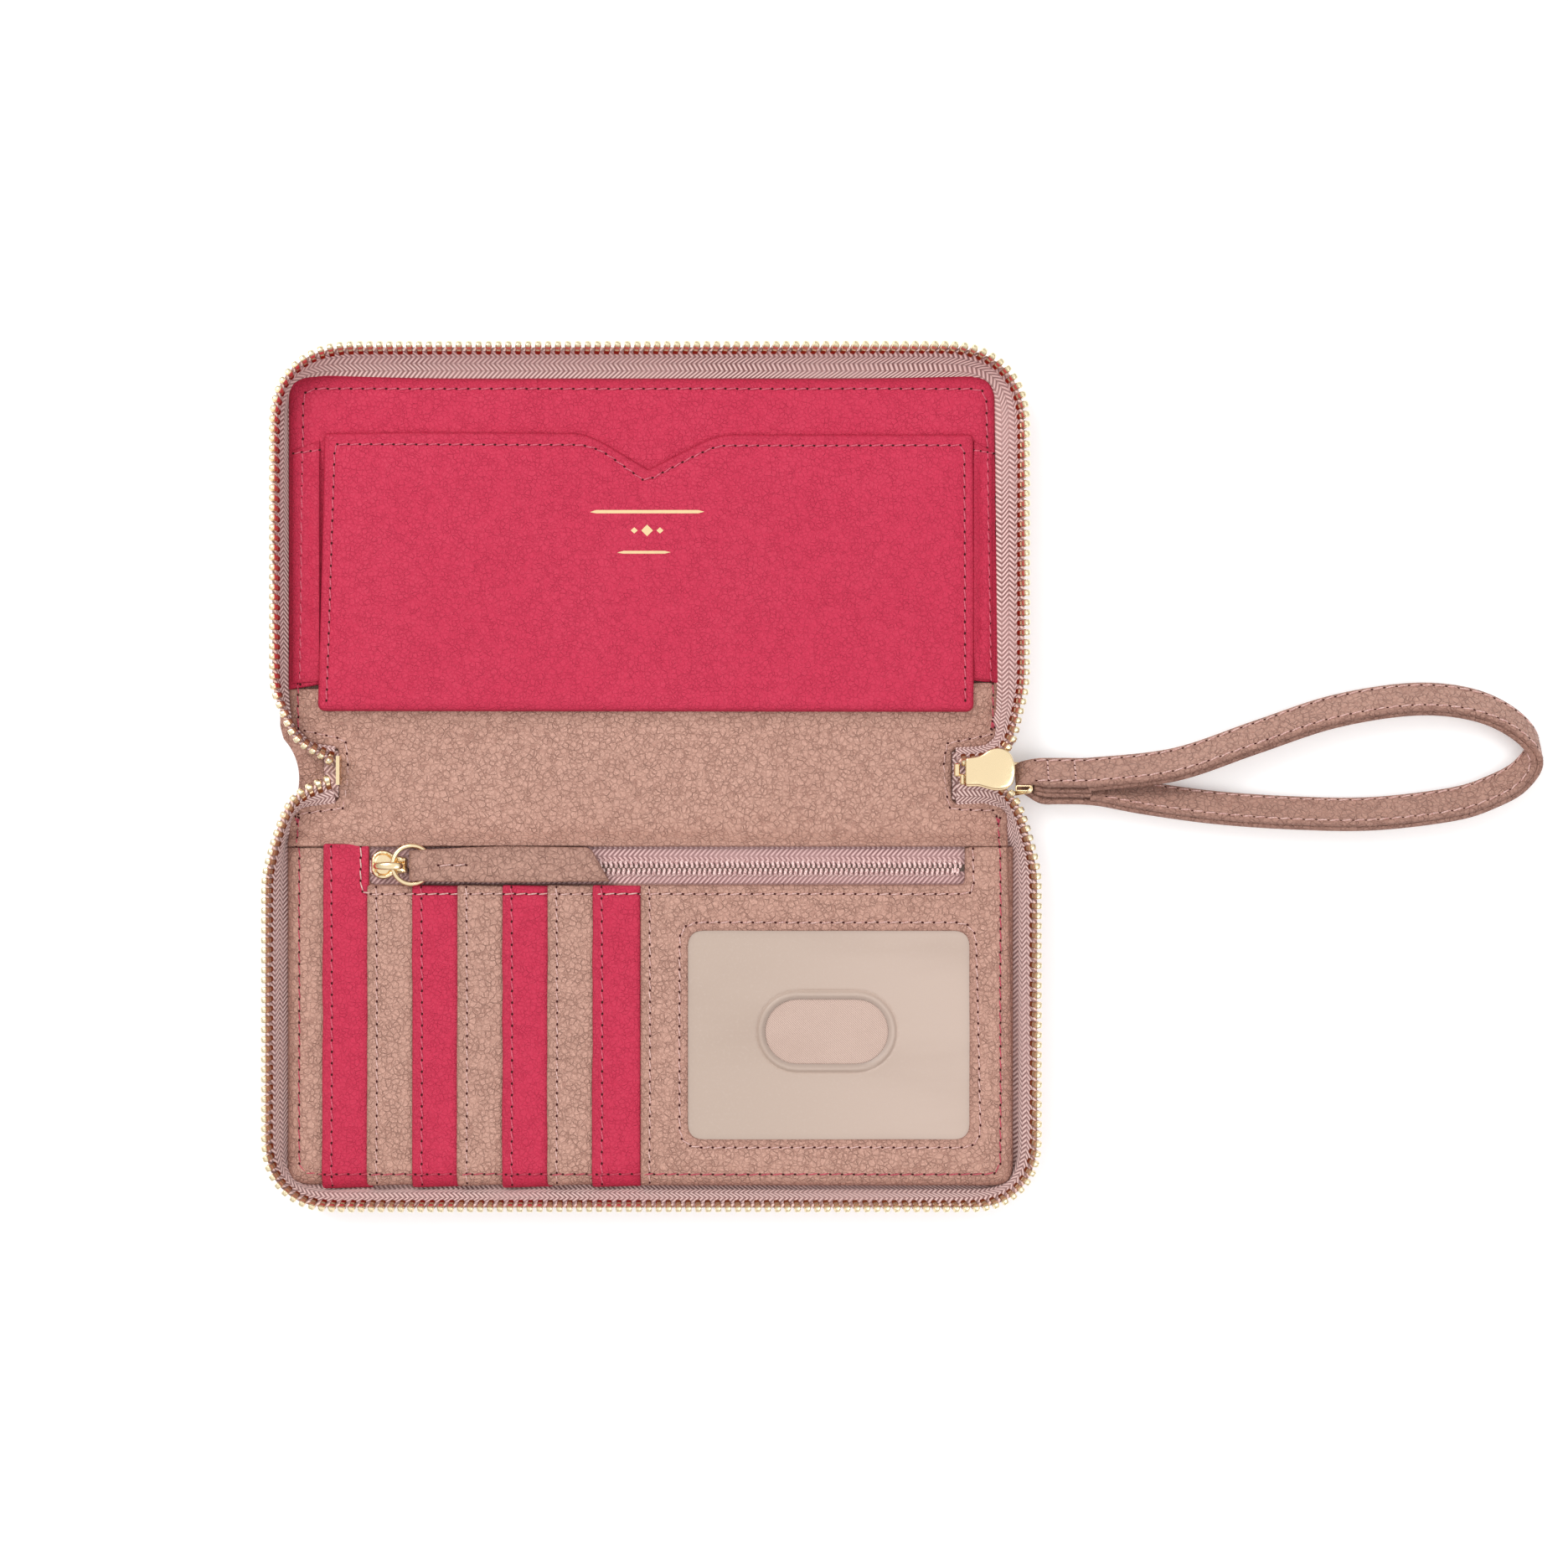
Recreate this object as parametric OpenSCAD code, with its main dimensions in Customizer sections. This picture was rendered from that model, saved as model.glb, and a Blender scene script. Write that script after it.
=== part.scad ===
// Zip-around wristlet wallet, lying open on its outer leather with the interior up.
// X runs along the spine, Y across the two covers, Z up. The origin is the centre of the
// spine's underside. The back cover (coin pocket, card slots, ID window) lies at -Y and
// the front cover (phone pocket) at +Y. The two fold lines run along X at both sides of
// the spine, at the level of the outer leather's underside, so the closed wallet is one
// spine width thick. Thin layers near a fold stop short of the 45 degree plane through it,
// and thick ones start further out, so that none meets another when the covers stand up.

/* [Covers] */
// Thickness of the closed wallet, which is also the width of the spine
closed_depth = 23; // [20:0.5:28]
// Half width of the outer leather, from the middle to the side edge
cover_half_w = 95.5; // [94:0.5:97]
// Distance from the spine's centreline to the far edge of each cover
cover_reach = 107; // [105:0.5:108]
// Corner radius of the outer leather
cover_r = 11; // [8:0.5:14]
// Thickness of the outer leather
outer_t = 1.2; // [1:0.1:1.4]
// Thickness of the stiffening board in the back cover
back_board_t = 1.0; // [0.8:0.1:1.2]
// Thickness of the padded board in the front cover
front_board_t = 1.4; // [1.2:0.1:1.5]
// Thickness of the lining leather
lining_t = 0.8; // [0.6:0.1:0.9]

/* [Front pocket] */
// Left edge of the phone pocket panel
pocket_left = -84.8; // [-86:0.1:-83]
// Right edge of the phone pocket panel
pocket_right = 83; // [80:0.1:84]
// Folded bottom edge of the phone pocket panel
pocket_bottom = 17.2; // [17:0.1:22]
// Open top edge of the phone pocket panel
pocket_top = 88.2; // [80:0.1:92]
// Height that the panel stands off the lining at its padded middle
pocket_t = 2.6; // [2:0.1:3]
// Depth of the V notch in the pocket's top edge
notch_depth = 8.6; // [4:0.1:12]

/* [Card side] */
// Distance from one card slot's edge to the next
slot_pitch = 11.55; // [11:0.05:12]
// Left edge of the first card slot
slot_left = -84.1; // [-86:0.1:-83]
// Left edge of the ID panel
id_left = -2.4; // [-3:0.1:0]
// Width of the ID window
id_window_w = 72; // [70:0.5:74]
// Height of the ID window
id_window_h = 53.4; // [52:0.1:55]

/* [Zips] */
// Pitch of the main zip's metal teeth
tooth_pitch = 2.54; // [2.4:0.02:3]
// Height of the main zip's tooth tips over the table
tooth_top = 11.2; // [9:0.1:11.3]
// Length of the coin pocket zip's window
coin_zip_l = 152.8; // [140:0.1:154]
// Centreline of the coin pocket zip
coin_zip_y = -22.6; // [-23:0.1:-22]

/* [Wrist strap] */
// Width of the strap
strap_w = 10; // [8:0.5:11]
// Thickness of the strap, both plies together
strap_t = 3; // [2.4:0.1:3.2]
// Lean of the strap from upright as it rests on its edge
strap_lean = 45; // [40:1:50]

/* [Hidden] */
$fn = 48;

taupe = [0.78, 0.61, 0.53];
pink = [0.85, 0.24, 0.36];
mauve = [0.70, 0.55, 0.55];
gold = [0.92, 0.80, 0.56];
film_beige = [0.83, 0.75, 0.68];

fold_y = closed_depth / 2;   // distance of each fold line from the origin
fold_gap = 0.1;              // how far every thin layer stays off the 45 degree fold plane
thick_y = 17.7;              // where the back cover's boards and lining start
front_thick_y = 24.6;        // and the front cover's
seam_t = 0.5;                // thickness of the zip tape
rim_w = 6;                   // width of the tape that is sewn in under the lining

// levels of the layers, counted up from the table
outer_top = outer_t;
back_board_top = outer_top + back_board_t;
pouch_top = back_board_top + 0.4;              // coin pocket's twill lining
coin_tape_z = 3.6;                             // underside of the coin zip's tape
coin_tape_top = coin_tape_z + 0.4;
back_lining_top = coin_tape_top + lining_t;
front_board_top = outer_top + front_board_t;
front_lining_top = front_board_top + lining_t;

// half widths and reaches of the linings and of the zip's root and tip lines
back_lining_half_w = 93.4;
back_lining_reach = 104.5;
front_lining_left = -93;
front_lining_right = 88.6;
front_lining_reach = 103;
front_lining_r = 5;
back_root = [-94.5, 94.5, 105.6];      // left, right and far edge of the tape's root
back_tip = [-99.6, 100.3, 110.1];      // left, right and far edge of the tooth tips
front_root = [-94.2, 89.8, 104.2];
front_tip = [-97.6, 96.8, 111.4];
root_r = 7;                            // corner radii of the root and tip lines
tip_r = 16;
end_y = 23.4;                          // where the cover's tape hands over to the spine's
wall_share = 0.8;                      // share of the tape's height that is tape, not teeth

// card side
slot_top = -27;
slot_bottom = -104.2;
slot_t = 0.45;
id_cx = 45.85;
id_cy = -65.8;
slot_count = 7;
slot_lift = 1.0;                       // how far a strip's free edge rides up on the next
id_t = 1.4;

// ---------------------------------------------------------------- helpers

function lerp(a, b, t) = a + (b - a) * t;
function unit(v) = v / norm(v);

// a point on the smooth curve through p[i] and p[i + 1]
function through(a, b, c, d, t) =
    0.5 * ((2 * b) + (c - a) * t + (2 * a - 5 * b + 4 * c - d) * t * t
    + (3 * b - 3 * c + d - a) * t * t * t);

// smooth open curve through the points, k samples to a span
function curve(p, k) = let (n = len(p) - 1) [
    for (i = [0:n - 1], j = [0:k - 1])
        through(p[max(i - 1, 0)], p[i], p[i + 1], p[min(i + 2, n)], j / k),
    p[n]
];

// running length of a list of points
function runs(p, i = 1, s = [0]) =
    i == len(p) ? s : runs(p, i + 1, concat(s, [s[i - 1] + norm(p[i] - p[i - 1])]));

// index of the span that holds length s
function span_at(r, s, i = 0) = i >= len(r) - 2 || r[i + 1] > s ? i : span_at(r, s, i + 1);

// U line round one cover, from its start at the spine, round both far corners and back.
// e = [left, right, reach], side = -1 for the back cover and 1 for the front one.
function u_line(e, r, side, z, k = 8) = concat(
    [[e[0], side * end_y, z]],
    [for (i = [0:k]) let (a = 90 * i / k)
        [e[0] + r - r * cos(a), side * (e[2] - r + r * sin(a)), z]],
    [for (i = [0:k]) let (a = 90 * i / k)
        [e[1] - r + r * sin(a), side * (e[2] - r + r * cos(a)), z]],
    [[e[1], side * end_y, z]]
);

// solid skin over a list of rings, each the same number of points, with flat ends
module loft(rings, closed = false) {
    n = len(rings);
    m = len(rings[0]);
    last = closed ? n - 1 : n - 2;
    side_faces = [
        for (i = [0:last], j = [0:m - 1])
            let (a = i * m + j, b = i * m + (j + 1) % m,
                c = ((i + 1) % n) * m + (j + 1) % m, d = ((i + 1) % n) * m + j)
            each [[a, b, c], [a, c, d]]
    ];
    caps = closed ? [] : [[for (j = [m - 1:-1:0]) j], [for (j = [0:m - 1]) (n - 1) * m + j]];
    polyhedron([for (r = rings) each r], concat(side_faces, caps), convexity = 8);
}

// points of a closed loop with every corner cut back to a small bend
function bends(p, r) = let (n = len(p)) [
    for (i = [0:n - 1])
        let (a = p[(i + n - 1) % n], b = p[i], c = p[(i + 1) % n],
            u = b + r * unit(a - b), v = b + r * unit(c - b))
        each [u, (u + v + 2 * b) / 4, v]
];

// closed loop of round wire, its rings turned about the loop's own plane
module wire_loop(points, r, up) {
    p = bends(points, 2 * r);
    n = len(p);
    loft([
        for (i = [0:n - 1])
            let (t = unit(p[(i + 1) % n] - p[(i + n - 1) % n]), u = unit(cross(up, t)),
                v = cross(t, u))
            [for (k = [0:11]) p[i] + r * (cos(30 * k) * u + sin(30 * k) * v)]
    ], closed = true);
}

// rectangle with round corners, from [x0, y0] to [x1, y1]
module round_rect(x0, y0, x1, y1, r) {
    translate([x0 + r, y0]) square([x1 - x0 - 2 * r, y1 - y0]);
    translate([x0, y0 + r]) square([x1 - x0, y1 - y0 - 2 * r]);
    for (x = [x0 + r, x1 - r], y = [y0 + r, y1 - r])
        translate([x, y]) circle(r);
}

// where a thin layer with its top at z starts, just clear of the 45 degree fold plane
function thin_y(z) = fold_y + z + fold_gap;

// sheet of a cover between two levels, square at the spine and round at its far corners
module cover_sheet(x0, x1, near, reach, r, z0, z1, side) {
    translate([0, 0, z0])
    linear_extrude(z1 - z0)
    scale([1, side])
    intersection() {
        round_rect(x0, near - 2 * r, x1, reach, r);
        translate([x0, near]) square([x1 - x0, reach]);
    }
}

// ---------------------------------------------------------------- zip parts

// outward normal in the XY plane at each point of a line
function outward(p, side) = [
    for (i = [0:len(p) - 1])
        let (t = unit(p[min(i + 1, len(p) - 1)] - p[max(i - 1, 0)]))
        side * [-t[1], t[0], 0]
];

// tape sewn in flat under the lining, then standing up and leaning out to the teeth
module cover_tape(root, tip, side) {
    a = u_line(root, root_r, side, outer_top);
    b = u_line(tip, tip_r, side, tooth_top);
    n = outward(a, side);
    loft([
        for (i = [0:len(a) - 1])
            let (w = lerp(a[i], b[i], wall_share), h = seam_t * n[i] * 0.6,
                up = [0, 0, seam_t], ring = [
                    a[i] - rim_w * n[i], a[i] + h, w + h, w - h, a[i] - h + up,
                    a[i] - rim_w * n[i] + up
                ])
            side > 0 ? [for (j = [5:-1:0]) ring[j]] : ring
    ]);
}

// one metal tooth: foot clamped on the tape's edge and a narrower head
module tooth(foot, head) {
    v = head - foot;
    translate(foot)
    rotate([0, acos(v[2] / norm(v)), atan2(v[1], v[0])]) {
        translate([-0.9, -0.75, -0.6]) cube([1.8, 1.5, norm(v) * 0.62 + 0.6]);
        translate([-0.6, -0.5, norm(v) * 0.6]) cube([1.2, 1.0, norm(v) * 0.4]);
    }
}

// row of teeth between the two rails, a pitch apart along the tip rail
module tooth_row(a, b) {
    s = runs(b);
    total = s[len(s) - 1];
    for (k = [0:floor((total - 1.6) / tooth_pitch)])
        let (d = 0.8 + k * tooth_pitch, i = span_at(s, d), t = (d - s[i]) / (s[i + 1] - s[i]),
            foot = lerp(a[i], a[i + 1], t), head = lerp(b[i], b[i + 1], t))
        tooth(lerp(foot, head, 1 - 3.1 / norm(head - foot)), head);
}

module cover_teeth(root, tip, side) {
    tooth_row(
        u_line(root, root_r, side, outer_top),
        u_line(tip, tip_r, side, tooth_top));
}

// rails of the four zip ends, from the cover's hand-over to the middle of the spine
left_front_tip = curve([[-97.4, 22.4, 11.2], [-93.9, 16.3, 10.4], [-90.6, 9.8, 8.6],
    [-85.2, 6.1, 7.2], [-81.6, 3.4, 6.4]], 4);
left_front_root = curve([[-94.0, 22.4, 3.4], [-91.6, 15.4, 3.4], [-88.2, 11.0, 3.4],
    [-84.4, 9.6, 3.4], [-80.6, 8.6, 3.4]], 4);
left_back_tip = curve([[-98.6, -22.4, 11.2], [-95.9, -13.8, 10.4], [-91.8, -4.9, 8.6],
    [-86.4, -1.0, 7.2], [-82.2, 0.9, 6.4]], 4);
left_back_root = curve([[-94.2, -22.4, 3.4], [-92.6, -13.6, 3.4], [-89.4, -8.8, 3.4],
    [-84.6, -7.4, 3.4], [-80.6, -6.4, 3.4]], 4);
right_front_tip = curve([[96.4, 22.4, 11.2], [94.6, 15.2, 10.8], [93.2, 9.2, 9.9],
    [89.6, 5.2, 9.15], [84.6, 3.7, 9.15], [78.8, 3.7, 9.15]], 4);
right_front_root = curve([[89.8, 22.4, 4.6], [89.6, 16.4, 4.8], [88.6, 12.6, 6.4],
    [86.0, 11.2, 8.7], [82.6, 10.6, 8.7], [78.8, 9.6, 8.7]], 4);
right_back_tip = curve([[99.2, -22.4, 11.2], [97.0, -13.4, 10.8], [94.0, -5.2, 9.9],
    [89.8, -0.2, 9.15], [84.6, 1.3, 9.15], [78.8, 1.3, 9.15]], 4);
right_back_root = curve([[94.3, -22.4, 3.4], [93.0, -15.4, 4.2], [90.0, -8.8, 6.4],
    [86.6, -6.2, 8.7], [82.6, -5.6, 8.7], [78.8, -4.6, 8.7]], 4);

// strip of tape between a root rail and a tip rail
module rail_tape(a, b) {
    loft([
        for (i = [0:len(a) - 1])
            let (t = unit(a[min(i + 1, len(a) - 1)] - a[max(i - 1, 0)]),
                w = lerp(a[i], b[i], wall_share), n = unit(cross(t, w - a[i])) * seam_t / 2)
            [a[i] + n, w + n, w - n, a[i] - n]
    ]);
}

// ---------------------------------------------------------------- back cover

module outer_cover_back() {
    color(taupe)
    cover_sheet(-cover_half_w, cover_half_w, thin_y(outer_top), cover_reach, cover_r, 0,
        outer_top, -1);
}

module back_board() {
    color([0.62, 0.55, 0.48])
    cover_sheet(-86, 86, thick_y, 97, 6, outer_top, back_board_top, -1);
}

module coin_pocket_lining() {
    color([0.72, 0.52, 0.50])
    cover_sheet(-82, 82, thick_y, 94, 5, back_board_top, pouch_top, -1);
}

coin_x0 = -72;
coin_x1 = coin_x0 + coin_zip_l;
coin_win_y0 = -27.2;
coin_win_y1 = -17.9;

// lining with the coin zip's window, and a rim down onto the sewn-in zip tape
module back_lining() {
    rim_low = outer_top + seam_t;
    rim = 5;
    color(taupe)
    difference() {
        union() {
            cover_sheet(-back_lining_half_w, back_lining_half_w, thick_y, back_lining_reach, 6,
                coin_tape_top, back_lining_top, -1);
            difference() {
                cover_sheet(-back_lining_half_w, back_lining_half_w, thick_y,
                    back_lining_reach, 6, rim_low, coin_tape_top, -1);
                translate([-back_lining_half_w + rim, -back_lining_reach + rim, 0])
                cube([2 * (back_lining_half_w - rim), back_lining_reach, 10]);
            }
        }
        translate([0, 0, coin_tape_top - 1])
        linear_extrude(4)
        round_rect(coin_x0, coin_win_y0, coin_x1, coin_win_y1, 2);
    }
}

// edge of the spine's lining, sewn down on the cover beyond the fold
module spine_flap(x0, x1, far, side) {
    top = outer_top + lining_t;
    color(taupe)
    translate([x0, side > 0 ? thin_y(top) : -far, outer_top])
    cube([x1 - x0, far - thin_y(top), lining_t]);
}

module spine_lining_back_flap() {
    spine_flap(-93.2, 93.2, thick_y - 0.1, -1);
}

// one vertical strip; its left edge is free and its right edge lies under the next strip
module card_slot(index) {
    x0 = slot_left + (index - 1) * slot_pitch;
    x1 = x0 + slot_pitch - 0.25;
    z0 = back_lining_top + 0.05;
    top_y = slot_top - (index == 1 ? 0 : 0.4);
    color(index % 2 == 1 ? pink : taupe)
    translate([0, top_y, 0])
    rotate([90, 0, 0])
    linear_extrude(top_y - slot_bottom)
    polygon([
        [x0, z0 + slot_lift], [x0 + 1.5, z0 + slot_lift - 0.1], [x1, z0], [x1, z0 + slot_t],
        [x0 + 1.5, z0 + slot_lift + slot_t + 0.2], [x0, z0 + slot_lift + slot_t + 0.15]
    ]);
}

module id_panel() {
    z0 = back_lining_top + 0.05;
    color(taupe)
    translate([0, 0, z0])
    difference() {
        linear_extrude(id_t)
        round_rect(id_left, slot_bottom, back_lining_half_w - 0.2, slot_top - 0.4, 3);
        translate([0, 0, -1])
        linear_extrude(id_t + 2)
        round_rect(id_cx - id_window_w / 2, id_cy - id_window_h / 2,
            id_cx + id_window_w / 2, id_cy + id_window_h / 2, 4);
    }
}

hole_cx = 45.35;
hole_cy = -64.9;
hole_w = 31.7;
hole_h = 16.6;

// frosted film in the ID window, with a racetrack thumb hole and a raised rim round it
module id_film() {
    z0 = back_lining_top + 0.45;
    color(film_beige)
    translate([0, 0, z0])
    difference() {
        union() {
            linear_extrude(0.5)
            round_rect(id_cx - id_window_w / 2 + 0.1, id_cy - id_window_h / 2 + 0.1,
                id_cx + id_window_w / 2 - 0.1, id_cy + id_window_h / 2 - 0.1, 3.9);
            linear_extrude(0.9) thumb_shape(2.1);
        }
        translate([0, 0, -1]) linear_extrude(4) thumb_shape(0);
    }
}

module thumb_shape(grow) {
    r = hole_h / 2 + grow;
    for (x = [-1, 1])
        translate([hole_cx + x * (hole_w - hole_h) / 2, hole_cy]) circle(r);
    translate([hole_cx - (hole_w - hole_h) / 2, hole_cy - r]) square([hole_w - hole_h, 2 * r]);
}

module id_backing() {
    color([0.80, 0.60, 0.58])
    translate([0, 0, back_lining_top + 0.05])
    linear_extrude(0.3)
    round_rect(id_cx - id_window_w / 2 + 0.1, id_cy - id_window_h / 2 + 0.1,
        id_cx + id_window_w / 2 - 0.1, id_cy + id_window_h / 2 - 0.1, 3.9);
}

coil_w = 3.3;
coil_top = coin_tape_top + 0.9;

module coin_zip_tapes() {
    color(mauve)
    for (y = [[coin_win_y0 - 2, coin_zip_y - 0.9], [coin_zip_y + 0.9, coin_win_y1 + 1.6]])
        translate([coin_x0 - 3, y[0], coin_tape_z])
        cube([coin_zip_l + 6, y[1] - y[0], 0.35]);
}

module coin_zip_coil() {
    color(mauve)
    translate([coin_x0 + 3, coin_zip_y, coin_tape_top])
    rotate([90, 0, 90])
    linear_extrude(coin_zip_l - 6)
    polygon([[-coil_w / 2, 0], [coil_w / 2, 0], [coil_w / 2, 0.5], [coil_w / 2 - 0.5, 0.9],
        [0.5 - coil_w / 2, 0.9], [-coil_w / 2, 0.5]]);
}

module coin_zip_stops() {
    color(gold)
    for (x = [coin_x0 + 0.1, coin_x1 - 2.7])
        translate([x, coin_zip_y - 1.6, coin_tape_top])
        cube([0.5, 3.2, 0.8]);
}

module back_zip_tape() {
    color(mauve) cover_tape(back_root, back_tip, -1);
}

module back_zip_teeth() {
    color(gold) cover_teeth(back_root, back_tip, -1);
}

// ---------------------------------------------------------------- spine

// leather of the spine; its ends are cut back in an arc so that the zip can pass
module outer_spine() {
    half = fold_y - outer_top - fold_gap;
    color(taupe)
    linear_extrude(outer_top)
    difference() {
        translate([-cover_half_w, -half]) square([2 * cover_half_w, 2 * half]);
        for (side = [-1, 1])
            translate([side * 105.6, 0]) circle(r = 15);
    }
}

module spine_lining() {
    top = outer_top + lining_t;
    half = fold_y - top - fold_gap;
    color(taupe)
    translate([0, 0, outer_top])
    linear_extrude(lining_t)
    difference() {
        translate([-88.6, -half]) square([177.2, 2 * half]);
        translate([-90, -6.7]) square([9.8, 15.3]);
        translate([77.6, -6.3]) square([12, 13.95]);
    }
}

module zip_end_tape_left() {
    color(mauve) {
        rail_tape(left_front_root, left_front_tip);
        rail_tape(left_back_root, left_back_tip);
    }
}

module zip_end_teeth_left() {
    color(gold) {
        tooth_row(left_front_root, left_front_tip);
        tooth_row(left_back_root, left_back_tip);
    }
}

module zip_end_tape_right() {
    color(mauve) {
        rail_tape(right_front_root, right_front_tip);
        rail_tape(right_back_root, right_back_tip);
    }
}

module zip_end_teeth_right() {
    color(gold) {
        tooth_row(right_front_root, right_front_tip);
        tooth_row(right_back_root, right_back_tip);
    }
}

module zip_stop_left() {
    color(gold)
    translate([-80.4, -1.6, 2.4]) cube([0.9, 7.4, 4.6]);
}

module zip_stop_right() {
    color(gold)
    translate([76.6, -1.2, 7.9]) cube([1.2, 6.2, 2.2]);
}

// ---------------------------------------------------------------- front cover

module outer_cover_front() {
    color(taupe)
    cover_sheet(-cover_half_w, 91.4, thin_y(outer_top), cover_reach - 1, cover_r, 0,
        outer_top, 1);
}

module front_board() {
    color([0.62, 0.55, 0.48])
    cover_sheet(-85.5, 81, front_thick_y, 96, 6, outer_top, front_board_top, 1);
}

module front_lining() {
    rim_low = outer_top + seam_t;
    rim = 5;
    color(pink) {
        cover_sheet(front_lining_left, front_lining_right, front_thick_y, front_lining_reach,
            front_lining_r, front_board_top, front_lining_top, 1);
        difference() {
            cover_sheet(front_lining_left, front_lining_right, front_thick_y,
                front_lining_reach, front_lining_r, rim_low, front_board_top, 1);
            translate([front_lining_left + rim, 0, 0])
            cube([front_lining_right - front_lining_left - 2 * rim, front_lining_reach - rim, 10]);
        }
    }
}

// full width up to the zip tape's sewn-in edge, and narrower between the tapes
module spine_lining_front_flap() {
    spine_flap(-93, 88.6, end_y - 0.1, 1);
    spine_flap(front_root[0] + rim_w + 0.4, front_root[1] - rim_w - 0.4, front_thick_y - 0.1, 1);
}

// padded panel, open along its notched top edge; thicker over the middle than at its rim,
// where the slider needs room in the closed wallet
module phone_pocket_panel() {
    z0 = front_lining_top + 0.2;
    color(pink)
    translate([0, 0, z0]) {
        linear_extrude(pocket_t * 0.5) pocket_outline(0);
        translate([0, 0, pocket_t * 0.5]) linear_extrude(pocket_t * 0.5) pocket_outline(3);
    }
}

module pocket_outline(inset) {
    top = pocket_top - inset;
    low = pocket_bottom + inset;
    left = pocket_left + inset;
    right = pocket_right - inset;
    r = 2;
    difference() {
        round_rect(left, low, right, top, r);
        polygon([
            [-14.5, top + 1], [-13.6, top], [-2.6, top - notch_depth + 0.5],
            [0, top - notch_depth], [2.6, top - notch_depth + 0.5], [15.4, top], [16.4, top + 1]
        ]);
    }
}

module gusset(x0, x1) {
    color(pink)
    translate([x0, 26, front_lining_top + 0.05])
    cube([x1 - x0, pocket_top - 3 - 26, 1.6]);
}

module pocket_gusset_left() {
    gusset(-90.6, pocket_left - 0.15);
}

module pocket_gusset_right() {
    gusset(pocket_right + 0.15, 87.4);
}

module front_zip_tape() {
    color(mauve) cover_tape(front_root, front_tip, 1);
}

module front_zip_teeth() {
    color(gold) cover_teeth(front_root, front_tip, 1);
}

// ---------------------------------------------------------------- main slider and puller

slider_y = 2.5;
slider_x0 = 80.7;
slider_x1 = 93.6;
gap_low = 7.9;                 // channel for the teeth, between the two plates
gap_top = 10.1;
plate_t = 0.9;

// shield outline: narrow where the closed rows leave, wide at the shoulders, round nose
module shield(shrink) {
    hull() {
        translate([slider_x0 + 0.6, slider_y]) square([1.2, 7.1 - 2 * shrink], center = true);
        translate([slider_x0 + 4, slider_y]) square([1, 7.6 - 2 * shrink], center = true);
        translate([89.0, slider_y]) circle(r = 4.6 - shrink);
    }
    hull() {
        translate([89.2, slider_y - 0.9]) circle(r = 4.5 - shrink);
        translate([89.2, slider_y + 0.9]) circle(r = 4.5 - shrink);
    }
}

module slider_body() {
    color(gold) {
        translate([0, 0, gap_top]) linear_extrude(plate_t) shield(0);
        translate([0, 0, gap_low - plate_t]) linear_extrude(plate_t) shield(0.4);
        translate([0, 0, gap_low - 0.1])
        linear_extrude(gap_top - gap_low + 0.2)
        translate([91.6, slider_y]) scale([1, 0.7]) circle(r = 1.3, $fn = 32);
    }
}

bridge_x0 = 84.6;
bridge_x1 = 90.6;
bridge_low = 2.8;

// lug under the slider that holds the puller's wire
module slider_bridge() {
    top = gap_low - plate_t;
    color(gold)
    translate([0, slider_y + 0.9, 0])
    rotate([90, 0, 0])
    linear_extrude(1.8)
    difference() {
        translate([bridge_x0, bridge_low]) square([bridge_x1 - bridge_x0, top - bridge_low]);
        translate([bridge_x0 + 1.1, bridge_low + 1]) square([3.8, top - bridge_low - 1.9]);
    }
}

wire_r = 0.65;
puller_x = 87.6;
puller_z = 4.9;
bar = [97.0, -0.3, 6.5];                              // middle of the bar that holds the strap
lean = [0, -sin(strap_lean), cos(strap_lean)];        // across the strap's width, upwards
bar_half = strap_w / 2 + 2.5;

// closed wire loop: one bar in the slider's lug, the other along the strap's width
module puller_loop() {
    y0 = slider_y - 6.3;
    y1 = slider_y + 6.3;
    hi = bar + bar_half * lean;
    lo = bar - bar_half * lean;
    color(gold)
    wire_loop([
        [puller_x, y0, puller_z], [93.6, y0, 6.0], hi, lo, [93.6, y1 - 1.6, 2.6],
        [puller_x, y1, puller_z]
    ], wire_r, [0, -0.4, 0.9]);
}

// ---------------------------------------------------------------- wrist strap

// middle line of the strap's whole thickness, from the upper branch's start to the lower's
strap_line = curve([
    [98.6, 1.0, 8.2], [106, 1.0, 7.6], [114.6, 1.2, 7.4], [134.8, 3.6, 6.6], [155.1, 10.4, 5.4],
    [175.4, 17.1, 4.9], [195.7, 20.3, 4.8], [210.9, 19.0, 4.8], [221.6, 14.2, 4.8],
    [227.2, 7.4, 4.8], [223.6, 0.9, 4.8], [216.1, -3.4, 4.8], [205.9, -6.6, 4.8],
    [185.5, -9.0, 4.8], [165.3, -8.8, 4.8], [144.9, -7.4, 4.8], [126.6, -4.9, 4.8],
    [114.6, -2.7, 4.8], [106, -2.3, 4.8], [98.6, -2.5, 4.75]
], 3);

// square-cornered strip along the line, between two distances from its middle
module strip_along(p, near, far, w) {
    loft([
        for (i = [0:len(p) - 1])
            let (t = unit(p[min(i + 1, len(p) - 1)] - p[max(i - 1, 0)]),
                n = unit(cross(lean, t)), h = lean * w / 2)
            [p[i] + n * near - h, p[i] + n * far - h, p[i] + n * far + h, p[i] + n * near + h]
    ]);
}

ply = strap_t / 2;
wrap_r = wire_r + 0.3 + ply;       // outer radius of the ply round the puller's bar
neck_half = 3.2;                   // half width of the strap where it passes through the puller

// half width of the strap at a distance along X: a narrow neck at the puller, then full
function strap_half(x) =
    lerp(neck_half, strap_w / 2, min(max((x - bar[0] - 1.2) / 4.5, 0), 1));

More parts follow.
